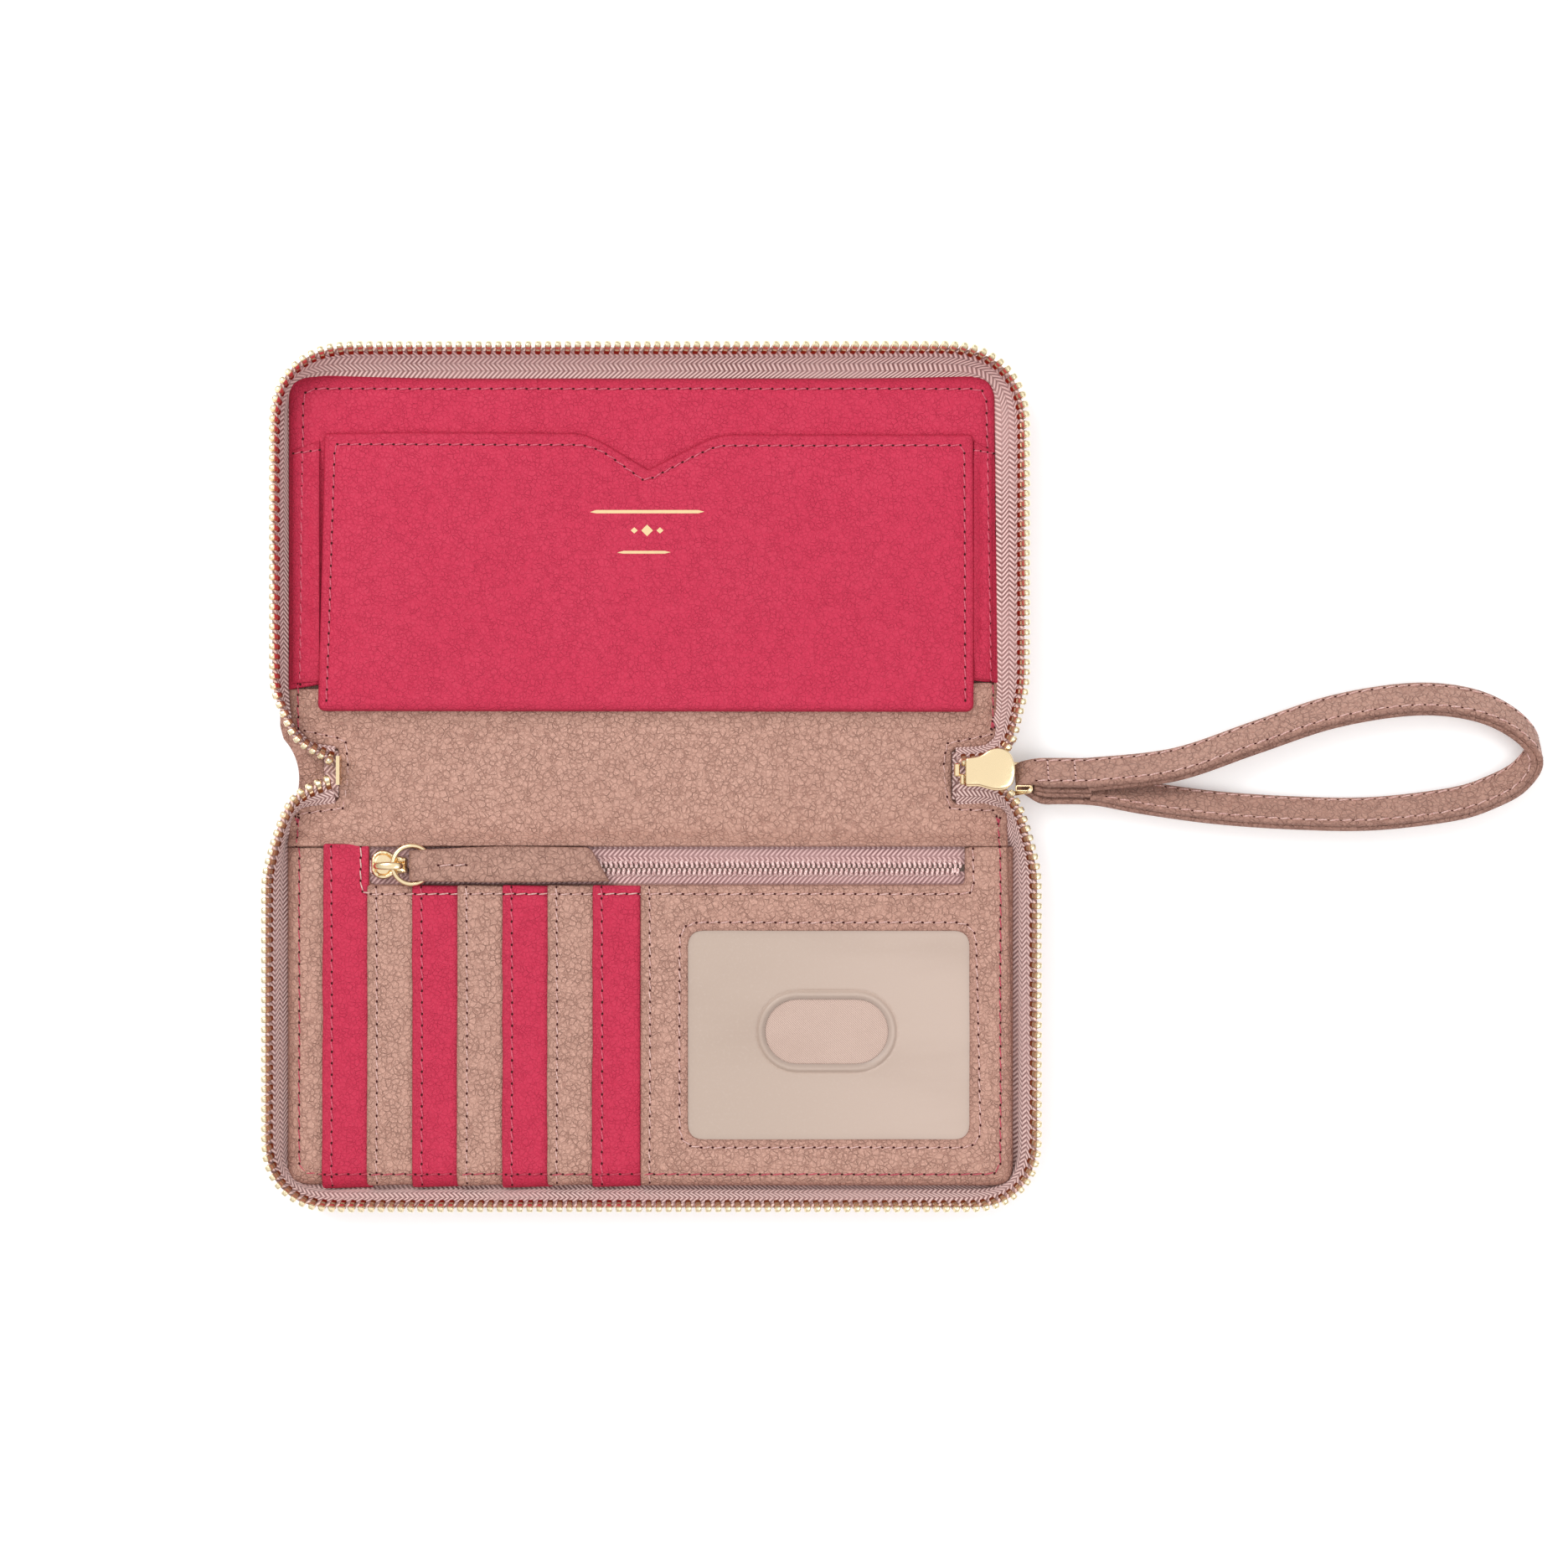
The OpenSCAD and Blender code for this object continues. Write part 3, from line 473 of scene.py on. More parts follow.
def panel(name, loops, top, bottom, mat, r=0.5, step=1.5, grooves=(), full=False, square=None):
    """A cut piece of leather, film or plate. Its top is top(x, y, d) with an edge rounded to r, d
    the distance from its edge, and its underside bottom(x, y), as finely divided as the top where
    full is true. grooves are sewn lines pulled down into it: path, depth, width. square(x, y)
    marks edge points that stay sharp, because another piece carries on there."""
    loops = [refine(p, step) for p in loops]
    loops = [p if turned_left(p) == (i == 0) else p[::-1] for i, p in enumerate(loops)]
    edge_lines = [segments(p) for p in loops]
    points, edges, rim_at = [], [], []

    def add(line, closed=True):
        n = sum(len(p) for p in points)
        points.append(line)
        last = len(line) if closed else len(line) - 1
        edges.extend((n + i, n + (i + 1) % len(line)) for i in range(last))

    for p in loops:
        n = sideways(np.roll(p, -1, 0) - np.roll(p, 1, 0))
        rim_at.append(sum(len(q) for q in points))
        for share in (0.0, 0.134, 0.5, 1.0):
            add(p + n * r * share)
    rows = []
    for path, _, _ in grooves:
        g = refine(path, 1.2, False)
        n = sideways(np.gradient(g, axis=0))
        rows += [g, g + 0.8 * n, g - 0.8 * n]
    low, high = loops[0].min(0), loops[0].max(0)
    gx = np.arange(low[0], high[0], step)
    gy = np.arange(low[1], high[1], step * 0.866)
    grid = np.array([(x + (j % 2) * step / 2, y) for j, y in enumerate(gy) for x in gx])
    if rows:
        far = distance(grid, [segments(refine(p, 3, False), False) for p, _, _ in grooves])
        grid = np.concatenate([grid[far > 1.3]] + rows)
    grid = grid[inside(grid, loops)]
    grid = grid[distance(grid, edge_lines) > r + 0.3 * step]
    points.append(grid)
    v, f, place = triangles(np.concatenate(points), edges, loops)
    if square is not None:
        kept = [~(square(a[:, 0], a[:, 1]) & square(b[:, 0], b[:, 1])) for a, b in edge_lines]
        edge_lines = [(a[k], b[k]) for (a, b), k in zip(edge_lines, kept)]
    d = distance(v, edge_lines)
    soft = np.clip(d, 0, r)
    drop = r - np.sqrt(np.maximum(r * r - (r - soft) ** 2, 0))
    z = top(v[:, 0], v[:, 1], d) - drop
    for path, depth, width in grooves:
        z -= depth * np.exp(-(distance(v, [segments(refine(path, 2, False), False)]) / width) ** 2)
    upper = np.column_stack([v, z])
    if full:
        w, g, under_at, rim_under = v, f, place, rim_at
    else:
        n = np.cumsum([0] + [len(p) for p in loops])
        rim = [(n[k] + i, n[k] + (i + 1) % len(p))
               for k, p in enumerate(loops) for i in range(len(p))]
        w, g, under_at = triangles(np.concatenate(loops), rim, loops)
        rim_under = n
    lower = np.column_stack([w, bottom(w[:, 0], w[:, 1])])
    faces = [list(t) for t in f] + [[len(v) + i for i in t[::-1]] for t in g]
    for k, p in enumerate(loops):
        for i in range(len(p)):
            j = (i + 1) % len(p)
            faces.append([place[rim_at[k] + i], len(v) + under_at[rim_under[k] + i],
                          len(v) + under_at[rim_under[k] + j], place[rim_at[k] + j]])
    rim_shade = np.concatenate([np.exp(-d / 0.7), np.ones(len(w))])
    return build(name, np.concatenate([upper, lower]), faces, [mat], floats={"edge": rim_shade})


def rings(sections, closed=False, caps=True):
    """Faces that join a list of equal rings of points, laid one after another."""
    n, m = len(sections), len(sections[0])
    faces = []
    for i in range(n if closed else n - 1):
        j = (i + 1) % n
        for k in range(m):
            q = (k + 1) % m
            faces.append([i * m + k, i * m + q, j * m + q, j * m + k])
    if caps and not closed:
        faces += [list(range(m - 1, -1, -1)), list(range((n - 1) * m, n * m))]
    return faces


def unit(v):
    return v / np.maximum(np.linalg.norm(v, axis=-1, keepdims=True), 1e-9)


def tangents(p, closed=False):
    if closed:
        return unit(np.roll(p, -1, 0) - np.roll(p, 1, 0))
    t = np.empty_like(p)
    t[1:-1] = p[2:] - p[:-2]
    t[0], t[-1] = p[1] - p[0], p[-1] - p[-2]
    return unit(t)


def curve(points, k):
    """Smooth line through the points, k samples to a span."""
    p = np.asarray(points, float)
    out = []
    for i in range(len(p) - 1):
        a, b, c, d = p[max(i - 1, 0)], p[i], p[i + 1], p[min(i + 2, len(p) - 1)]
        for t in np.arange(k) / k:
            out.append(0.5 * (2 * b + (c - a) * t + (2 * a - 5 * b + 4 * c - d) * t * t
                              + (3 * b - 3 * c + d - a) * t ** 3))
    out.append(p[-1])
    return np.array(out)


def lengths(p):
    return np.concatenate([[0], np.cumsum(np.linalg.norm(np.diff(p, axis=0), axis=1))])


def at_length(p, s, run):
    """Points of a line at lengths s, where run is the running length at each of its points."""
    return np.column_stack([np.interp(s, run, p[:, i]) for i in range(p.shape[1])])


def tube(points, r, sides=12, closed=True, up=(0, 0, 1)):
    p = np.asarray(points, float)
    t = tangents(p, closed)
    u = unit(np.cross(np.array(up, float), t))
    v = np.cross(t, u)
    a = np.arange(sides) * 2 * math.pi / sides
    c, s = np.cos(a)[:, None], np.sin(a)[:, None]
    return [p[i] + r * (c * u[i] + s * v[i]) for i in range(len(p))]


def copies(verts, faces, frames):
    """A template repeated at each (origin, x axis, y axis, z axis)."""
    verts = np.asarray(verts, float)
    out, all_faces = [], []
    for k, (o, x, y, z) in enumerate(frames):
        out.append(o + verts[:, :1] * x + verts[:, 1:2] * y + verts[:, 2:3] * z)
        all_faces += [[i + k * len(verts) for i in f] for f in faces]
    return np.concatenate(out), all_faces


def stitch_shape():
    """One stitch of unit length along X, its ends sunk, and a lens for a needle hole."""
    spots = [(-0.5, 0.06, -0.16), (-0.40, 0.15, 0.02), (0.0, 0.19, 0.09), (0.40, 0.15, 0.02),
             (0.5, 0.06, -0.16)]
    a = np.arange(6) * math.pi / 3
    v = np.concatenate([np.column_stack([np.full(6, x), r * np.cos(a), z + r * np.sin(a)])
                        for x, r, z in spots])
    f = rings([v[i * 6:i * 6 + 6] for i in range(5)])
    lens = [(0, 0, 0.035), (0, 0, -0.1)] + [(0.38 * c, 0.28 * s, 0.0) for c, s in
                                           zip(np.cos(a), np.sin(a))]
    g = [[0, 2 + i, 2 + (i + 1) % 6] for i in range(6)]
    g += [[1, 2 + (i + 1) % 6, 2 + i] for i in range(6)]
    return v, f, np.array(lens), g


STITCH, STITCH_F, LENS, LENS_F = stitch_shape()


def sew(name, runs, mat, pitch=2.95, slant=0.12, thick=1.0, holes=True):
    """Rows of stitches. Each run is (points, up vectors), both along the sewn line in 3D."""
    frames, spots = [], []
    for points, up in runs:
        run = lengths(points)
        n = max(1, int(round(run[-1] / pitch)))
        s = np.linspace(0, run[-1], n + 1)
        knots, ups = at_length(points, s, run), unit(at_length(np.asarray(up, float), s, run))
        for i in range(n):
            a, b, u = knots[i], knots[i + 1], unit(ups[i] + ups[i + 1])
            x = b - a
            y = unit(np.cross(u, x))
            length = np.linalg.norm(x)
            wander = 0.05 * math.sin(i * 12.9898 + length * 7)
            mid = (a + b) / 2 + y * wander
            x = x * 0.86 + y * length * slant
            frames.append((mid, x, y * thick, unit(np.cross(x, y)) * thick))
        for i in range(n + 1):
            j = min(i, n - 1)
            x = unit(knots[j + 1] - knots[j])
            u = ups[i]
            spots.append((knots[i], x, unit(np.cross(u, x)), u))
    v, f = copies(STITCH, STITCH_F, frames)
    which = [0] * len(f)
    mats = [mat]
    if holes:
        w, g = copies(LENS, LENS_F, spots)
        f += [[i + len(v) for i in q] for q in g]
        which += [1] * len(g)
        v = np.concatenate([v, w])
        mats.append(HOLE)
    return build(name, v, f, mats, which=which, sharp=60)


def on(surface, path, lift=0.0, step=1.5):
    """A sewn line laid on a surface: 3D points and their up vectors."""
    p = refine(path, step, False)
    z = surface(p[:, 0], p[:, 1]) + lift
    return np.column_stack([p, z]), np.tile([0.0, 0.0, 1.0], (len(p), 1))


def flat(value):
    return lambda x, y, d=None: np.full(np.shape(x), float(value))


# ---- levels from the frame

LINING_LO, LINING_HI = box_mm("back_lining")
FRONT_LO, FRONT_HI = box_mm("front_lining")
FILM_LO, FILM_HI = box_mm("id_film")
POCKET_Z = box_mm("phone_pocket_panel")[0][2]
LEFT, RIGHT, NEAR = LINING_LO[0], LINING_HI[0], LINING_LO[1]
BACK_Z, FRONT_Z = LINING_HI[2], FRONT_HI[2]
SEAM_Y, FRONT_SEAM_Y = -17.5, 24.4    # where the spine's lining meets those of the two covers
EDGE_X = {1: (-90.6, 88.2), -1: (-90.8, 89.6)}    # edge stitches on the front's and back's side
FOLD = 11.5


def back_dip(x, y):
    """How far the back cover's pieces bend down towards their common outer edge."""
    e = np.minimum(np.minimum(x - LEFT, RIGHT - x), y - NEAR)
    return 2.2 * np.clip(1 - e / 4.5, 0, 1.3) ** 2


def front_dip(x, y):
    e = np.minimum(np.minimum(x - FRONT_LO[0], FRONT_HI[0] - x), FRONT_HI[1] - y)
    return 1.4 * np.clip(1 - e / 4.5, 0, 1.3) ** 2


# ---- outer leather

def at_middle(x, y):
    """Where the spine's two halves meet."""
    return np.abs(y) < 0.3


def outer_half(name, side, cover, node):
    """Outer leather of one cover and half of the spine, with the zip's cut-out at each end."""
    low, high = box_mm(node)
    x0, x1, reach = low[0], high[0], high[1] if side > 0 else -low[1]
    arc_x, arc_r = 105.6, 15.0
    arc = [(arc_x - math.sqrt(arc_r ** 2 - y * y), y) for y in np.linspace(0, 10.2, 9)]
    right = arc + [(min(95.3, x1), 13.5)]
    left = [(-x, y) for x, y in arc] + [(x0, 13.5)]
    far = round_corners([(x1, 20), (x1, reach), (x0, reach), (x0, 20)], [0, 11, 11, 0], 10)
    loop = np.array(right + [tuple(p) for p in far] + left[::-1])
    loop[:, 1] *= side
    run = round_corners([(x1 - 3, 14), (x1 - 3, reach - 3), (x0 + 3, reach - 3), (x0 + 3, 14)],
                        [0, 9, 9, 0], 8) * (1, side)

    def under(x, y):
        p = np.column_stack([x, y])
        inner = distance(p, [segments(run, False)])
        edge = distance(p, [segments(refine(loop, 4))])
        bevel = 0.5 * np.clip(1 - edge / 0.9, 0, 1) ** 2 * (np.abs(y) > 0.5)
        seam = 0.20 * np.exp(-(inner / 0.9) ** 2)
        return seam + bevel + 0.04 + 0.03 * noise(x * 0.09, y * 0.09, 3)

    obj = panel(name, [loop], flat(1.2), under, TAUPE, r=0.4, step=2.4, full=True, square=at_middle)
    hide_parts(node, "outer_spine")
    bend(obj)
    line = refine(run, 2, False)
    down = np.tile([0.0, 0.0, -1.0], (len(line), 1))
    row = np.column_stack([line, np.full(len(line), 0.2)])
    attach(sew(name + "_seam", [(row, down)], PALE_THREAD, pitch=3.4), cover)


outer_half("outer_leather_back", -1, "back_cover", "outer_cover_back")
outer_half("outer_leather_front", 1, "front_cover", "outer_cover_front")

# ---- spine lining

NOTCH_L = [(-92.6, 14.6), (-91.2, 13.2), (-89.2, 11.2), (-87.3, 8.9), (-81.4, 8.3), (-80.2, 7.2),
           (-80.2, -5.0), (-81.4, -6.2), (-91.1, -6.9), (-93.0, -9.2)]
NOTCH_R = [(91.9, -9.2), (91.4, -7.0), (90.0, -6.0), (87.5, -5.5), (84.6, -6.0), (78.8, -6.5),
           (77.6, -5.4), (77.6, 6.8), (78.8, 7.9), (84.0, 8.0), (86.6, 8.5), (88.9, 10.6)]
STITCH_L = [(-90.6, -9.2), (-78.9, -7.6), (-77.8, 2.6), (-78.5, 10.0), (-89.0, 12.3)]
STITCH_R = [(88.2, -8.2), (77.2, -7.9), (76.0, -3.1), (75.5, 3.5), (76.2, 9.0), (87.8, 11.3)]


def lip(x, y):
    """The lining rides up on the zip tape that is sewn under the lips of both notches."""
    p = np.column_stack([x, y])
    lines = [segments(np.array(NOTCH_L), False), segments(np.array(NOTCH_R), False)]
    return np.exp(-(distance(p, lines) / 3.2) ** 2)


def spine_top(x, y, d=None):
    rise = np.where(y < 0, (BACK_Z + 0.75 - 2.0) * smooth((-y - 12.8) / 4.6),
                    (FRONT_Z - 2.0) * smooth((y - 12.8) / 5.5))
    crease = noise(x * 0.028, y * 0.52, 5) * 0.5 + noise(x * 0.07, y * 0.9, 9) * 0.3
    fold = np.exp(-((np.abs(y) - FOLD) / 4.5) ** 2) + 0.35
    soft = 0.5 + 0.5 * smooth((79 - np.abs(x)) / 12)
    # over the covers, the lining's edges bend down to the sewn-in tape
    e = np.minimum(x + 93.3, np.where(y > 0, 89.2, 92.4) - x)
    out = smooth((np.abs(y) - 12.5) / 4)
    dip = 1.6 * np.clip(1 - e / 4.5, 0, 1.2) ** 2 * out
    pleat = np.exp(-((y + 14.2 + 0.8 * noise(x * 0.03, 0, 6)) / 0.9) ** 2) * 0.22
    fine = 0.05 * noise(x * 0.10, y * 1.3, 12) * (0.4 + smooth(y / 8))
    wave = (0.14 * crease * fold + fine) * soft - pleat * soft
    return 2.05 + rise + wave + 0.65 * lip(x, y) * (1 - out) - dip


def spine_under(x, y):
    """Rests on the outer leather along the spine, and is one ply thick over the covers."""
    ply = spine_top(x, y) - 0.75
    return 1.2 + (ply - 1.2) * smooth((np.abs(y) - 12.2) / 1.6)


def spine_half(name, side, flap):
    cut = [p for p in NOTCH_L if side * p[1] > 0]
    cut_r = [p for p in NOTCH_R if side * p[1] > 0]
    if side > 0:
        end = FRONT_SEAM_Y
        loop = [(-80.2, 0), (77.6, 0)] + cut_r + [(89.5, end + 0.3), (-93.2, end - 1.4)] + cut
    else:
        end = SEAM_Y
        loop = [(-80.2, 0)] + cut + [(-93.3, end), (92.0, end)] + cut_r + [(77.6, 0)]
    grooves = [([p for p in path if side * p[1] > 0.0], 0.22, 0.9) for path in (STITCH_L, STITCH_R)]
    grooves += [([(x, side * 13.6), (x, end)], *SEAM) for x in EDGE_X[side]]
    obj = panel(name, [round_corners(loop, 0.5, 3)], spine_top, spine_under, TAUPE, r=0.6,
                grooves=grooves, full=True, square=at_middle)
    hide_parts("spine_lining", flap)
    bend(obj)


spine_half("spine_lining_leather_back", -1, "spine_lining_back_flap")
spine_half("spine_lining_leather_front", 1, "spine_lining_front_flap")

rows = [on(spine_top, path, -0.12) for path in (STITCH_L, STITCH_R)]
attach(sew("notch_stitches", rows, PALE_THREAD, pitch=2.8, thick=0.85), "spine")
for side, cover, end in ((1, "front_cover", FRONT_SEAM_Y), (-1, "back_cover", SEAM_Y)):
    rows = []
    for x in EDGE_X[side]:
        past_slider = x > 0 and side > 0
        rows.append(on(spine_top, [(x, side * (12.6 if past_slider else 10.0)), (x, end)], -0.1))
    for x in EDGE_X[side]:
        start = 12.8 if x > 0 and side > 0 else 9.8
        tack = [(x + dx, side * (start + dy))
                for dx, dy in ((-0.5, 0.0), (0.6, 1.4), (-0.6, 2.2), (0.4, 0.4))]
        rows.append(on(spine_top, tack, 0.12))
    obj = sew("spine_edge_stitches_" + cover, rows, ROSE_THREAD, pitch=3.0, thick=0.9)
    bend(obj)

# ---- back cover

COIN_X0, COIN_X1, COIN_Y0 = -72.0, 80.8, -27.2
ROW_TOP, ROW_LOW = -29.6, -101.5      # sewn rows below the coin zip and along the outer edge


def lining_top(x, y, d=None):
    return BACK_Z - back_dip(x, y) + 0.08 * noise(x * 0.05, y * 0.05, 2)


lining_loop = round_corners([(LEFT, NEAR), (RIGHT, NEAR), (RIGHT, SEAM_Y), (COIN_X1, SEAM_Y),
                             (COIN_X1, COIN_Y0), (COIN_X0, COIN_Y0), (COIN_X0, SEAM_Y),
                             (LEFT, SEAM_Y)], [5.5, 5.5, 0, 0, 1.5, 1.5, 0, 0])
edge_run = round_corners([(-90.1, SEAM_Y), (-90.1, ROW_LOW), (89.9, ROW_LOW), (89.9, SEAM_Y)],
                         [0, 3, 3, 0])
obj = panel("back_lining_leather", [lining_loop], lining_top,
            lambda x, y: np.where(back_dip(x, y) > 0.02, 1.75, 4.02), TAUPE, r=0.7, step=1.8,
            grooves=[(edge_run[:2], *SEAM)])
attach(obj, "back_cover", "back_lining")

SLOT_W, SLOT_X = 11.55, -84.1         # width of a card strip, and where the first one starts
SLOT_LOW = [-105.4, -104.6, -105.1, -104.7, -105.2, -104.6, -105.0]


def strip_top(index):
    x0 = SLOT_X + index * SLOT_W

    def top(x, y, d=None):
        t = np.clip((x - x0) / SLOT_W, 0, 1.2)
        z = BACK_Z + 1.62 - 1.05 * smooth(t * 1.05) + 0.10 * np.exp(-((x - x0 - 1.0) / 0.9) ** 2)
        return z + 0.07 * noise(x * 0.12 + index * 7, y * 0.10, 4 + index) - back_dip(x, y) * 0.9
    return top


for i in range(7):
    x0, low = SLOT_X + i * SLOT_W, SLOT_LOW[i]
    x1 = x0 + SLOT_W + (1.3 if i < 6 else 1.0)
    sewn_x = x0 + 2.45
    loop = [(x0, low), (x1, low + 0.2)]
    if i == 0:
        loop += [(x1, -27.6), (-72.1, -27.3), (-72.1, -16.9), (x0 + 0.4, -16.7)]
        radii = [0.8, 0.5, 0.5, 0.8, 0.6, 0.8]
        by_zip = [(-74.3, -17.2), (-74.2, -28.4), (-73.4, ROW_TOP), (x1, ROW_TOP)]
    else:
        loop += [(x1, -27.5), (x0 + 0.1, -27.3)]
        radii = [0.8, 0.5, 0.5, 0.7]
        by_zip = [(x0 + 0.5, ROW_TOP), (x1, ROW_TOP)]
    loop = refine(round_corners(loop, radii, 4), 1.4)
    free = np.abs(loop[:, 0] - x0) < 0.3
    loop[free, 0] += 0.10 * noise(loop[free, 1] * 0.13, 0.0, 11 + i)
    top = strip_top(i)
    grooves = [([(sewn_x, low + 1), (sewn_x, -28 if i else -17.6)], *SEAM), (by_zip, 0.22, 0.9),
               ([(x0 + 0.5, ROW_LOW), (x1, ROW_LOW)], *SEAM)]
    mat, thread_mat = (TAUPE, PALE_THREAD) if i % 2 else (PINK, PINK_THREAD)
    obj = panel("card_strip_%d" % (i + 1), [loop], top, lambda x, y: top(x, y) - 0.62, mat, r=0.42,
                step=1.3, grooves=grooves)
    attach(obj, "back_cover", "card_slot_%d" % (i + 1))
    row = [(sewn_x, low + 0.8), (sewn_x + 0.15, -60), (x0 + 2.4, -27.8 if i else -17.4)]
    obj = sew("card_strip_stitches_%d" % (i + 1), [on(top, row, -0.1)], thread_mat, slant=0.16)
    attach(obj, "back_cover")


def card_side(x, y):
    """Top of whatever strip or panel lies at that point of the card side."""
    z = np.array(id_top(x, y))
    for i in range(6, -1, -1):
        x0, x1 = SLOT_X + i * SLOT_W, SLOT_X + (i + 1) * SLOT_W
        z = np.where((x < (x1 if i < 6 else -2.5)) & (x >= x0), strip_top(i)(x, y), z)
    return np.where(x < SLOT_X, lining_top(x, y), z)


def id_top(x, y, d=None):
    pad = 1.35 + 0.22 * np.exp(-((x + 1.6) / 1.2) ** 2) - 0.62 * smooth((y + 27.5) / 6.0)
    win = np.maximum(np.abs(x - 45.85) - 36, np.abs(y + 65.8) - 26.7)
    sag = 0.18 * np.exp(-(win / 2.2) ** 2)
    return BACK_Z + pad - sag - back_dip(x, y) * 0.95 + 0.09 * noise(x * 0.05, y * 0.06, 21)


id_left = box_mm("id_panel")[0][0]
id_loop = round_corners([(id_left, -104.6), (RIGHT - 0.2, -104.6), (RIGHT - 0.5, -60),
                         (91.9, SEAM_Y), (COIN_X1, SEAM_Y), (COIN_X1, COIN_Y0 - 0.1),
                         (id_left, COIN_Y0 - 0.2)], [0.6, 5.3, 30, 0.5, 1.8, 1.8, 0.7], 8)
window = rect(9.8, -92.5, 81.9, -39.1, 4)
window_run = round_corners([(7.6, -94.6), (84.9, -94.6), (83.6, -36.9), (7.6, -36.9)], 5)
window_run = np.concatenate([window_run, window_run[:1]])
zip_run_right = round_corners([(-2.0, ROW_TOP), (83.2, ROW_TOP), (82.9, -17.8)], [0, 1.5, 0])
id_edge = [(-0.1, -103.8), (0.05, -60), (-0.1, -27.9)]
low_run = [(0.5, ROW_LOW), (88, ROW_LOW), (89.9, -98), (89.9, -20)]
obj = panel("id_window_panel", [id_loop, window], id_top,
            lambda x, y: np.where(x < 1.5, id_top(x, y) - 0.7, BACK_Z - back_dip(x, y) + 0.03),
            TAUPE, r=0.55, step=1.6, grooves=[(id_edge, *SEAM), (window_run, 0.24, 0.9),
                                              (zip_run_right, *SEAM), (low_run, *SEAM)])
attach(obj, "back_cover", "id_panel")

rows = [on(id_top, id_edge, -0.1), on(id_top, window_run, -0.12)]
attach(sew("id_window_stitches", rows, PALE_THREAD, pitch=2.9, slant=0.14), "back_cover")
zip_row = [(-74.2, -17.4), (-74.3, -28.3), (-73.4, ROW_TOP),
           *((x, ROW_TOP) for x in range(-72, 82, 3)),
           (82.4, -29.2), (83.1, -28.2), (82.9, -18.0)]
rows = [on(card_side, zip_row, -0.06)]
attach(sew("coin_zip_stitches", rows, PALE_THREAD, slant=0.1), "back_cover")
rows = [on(card_side, edge_run, -0.06)]
attach(sew("back_edge_stitches", rows, ROSE_THREAD, pitch=3.0, thick=0.8), "back_cover")

# ---- ID film

def racetrack(grow):
    """Outline of the film's thumb hole, that much larger all round."""
    n = 14
    r, half = 8.3 + grow, (31.7 - 16.6) / 2
    a = np.linspace(-math.pi / 2, math.pi / 2, n)
    right = np.column_stack([45.35 + half + r * np.cos(a), -64.9 + r * np.sin(a)])
    left = np.column_stack([45.35 - half - r * np.cos(a), -64.9 - r * np.sin(a)])
    return np.concatenate([right, left])


def film_top(x, y, d=None):
    p = np.column_stack([x, y])
    ring = distance(p, [segments(racetrack(2.3))])
    hole = distance(p, [segments(racetrack(0.0))])
    gap = 1 - 0.9 * np.exp(-(((x - 57.5) / 2.2) ** 2 + ((y + 75.0) / 2.0) ** 2))
    bead = distance(p, [segments(racetrack(1.2))])
    lift = 0.52 * np.exp(-(bead / 0.62) ** 4) * gap - 0.26 * np.exp(-(ring / 0.26) ** 2)
    lift -= 0.12 * np.exp(-(hole / 0.3) ** 2)
    sway, fine = noise(x * 0.035, y * 0.06, 31), noise(x * 0.10, y * 0.12, 33)
    return 5.62 + lift + 0.06 * sway + 0.05 * fine


film_loop = rect(FILM_LO[0] - 0.9, FILM_LO[1] - 0.9, FILM_HI[0] + 0.9, FILM_HI[1] + 0.9, 4.5)
# lines of no depth, which only add points where the pressed rim needs them
rims = [(np.concatenate([racetrack(g), racetrack(g)[:1]]), 0.0, 1.0)
        for g in (0.5, 1.0, 1.45, 1.85, 2.2, 2.6)]
obj = panel("id_film_sheet", [film_loop, racetrack(0.0)], film_top, flat(5.22), FILM, r=0.12,
            step=1.4, grooves=rims)
attach(obj, "back_cover", "id_film")

# ---- coin zip

def tape_strip(name, x0, x1, y0, y1, z, body, node, mat):
    xs, ys = np.linspace(x0, x1, 120), np.linspace(y0, y1, 7)
    v, uv = [], []
    for lift in (0.35, 0.0):
        for x in xs:
            for y in ys:
                v.append((x, y, z + lift + 0.05 * float(noise(x * 0.2, y, 8))))
                uv.append((x, y - y0))
    m, n = len(xs), len(ys)
    f = []
    for i in range(m - 1):
        for j in range(n - 1):
            a = i * n + j
            f.append([a, a + n, a + n + 1, a + 1])
            f.append([m * n + a, m * n + a + 1, m * n + a + n + 1, m * n + a + n])
    rim = [i * n for i in range(m)] + [(m - 1) * n + j for j in range(1, n)]
    rim += [i * n + n - 1 for i in range(m - 2, -1, -1)] + [j for j in range(n - 2, 0, -1)]
    f += [[a, m * n + a, m * n + b, b] for a, b in zip(rim, rim[1:] + rim[:1])]
    attach(build(name, v, f, [mat], uv=uv), body, node)


tape_strip("notch_tape_left", -84.0, -80.3, -4.9, 7.1, 1.7, "spine", "zip_end_tape_left", TAPE)
tape_strip("notch_tape_right", 77.7, 84.0, -5.4, 6.8, 1.7, "spine", "zip_end_tape_right", TAPE)

COIL_Y, COIL_Z = -23.0, 4.0
for tag, y0, y1 in (("lower", -29.2, COIL_Y - 0.9), ("upper", COIL_Y + 0.9, -16.6)):
    tape_strip("coin_zip_tape_" + tag, -75, 83.6, y0, y1, 3.6, "back_cover", "coin_zip_tapes",
               COIN_TAPE)

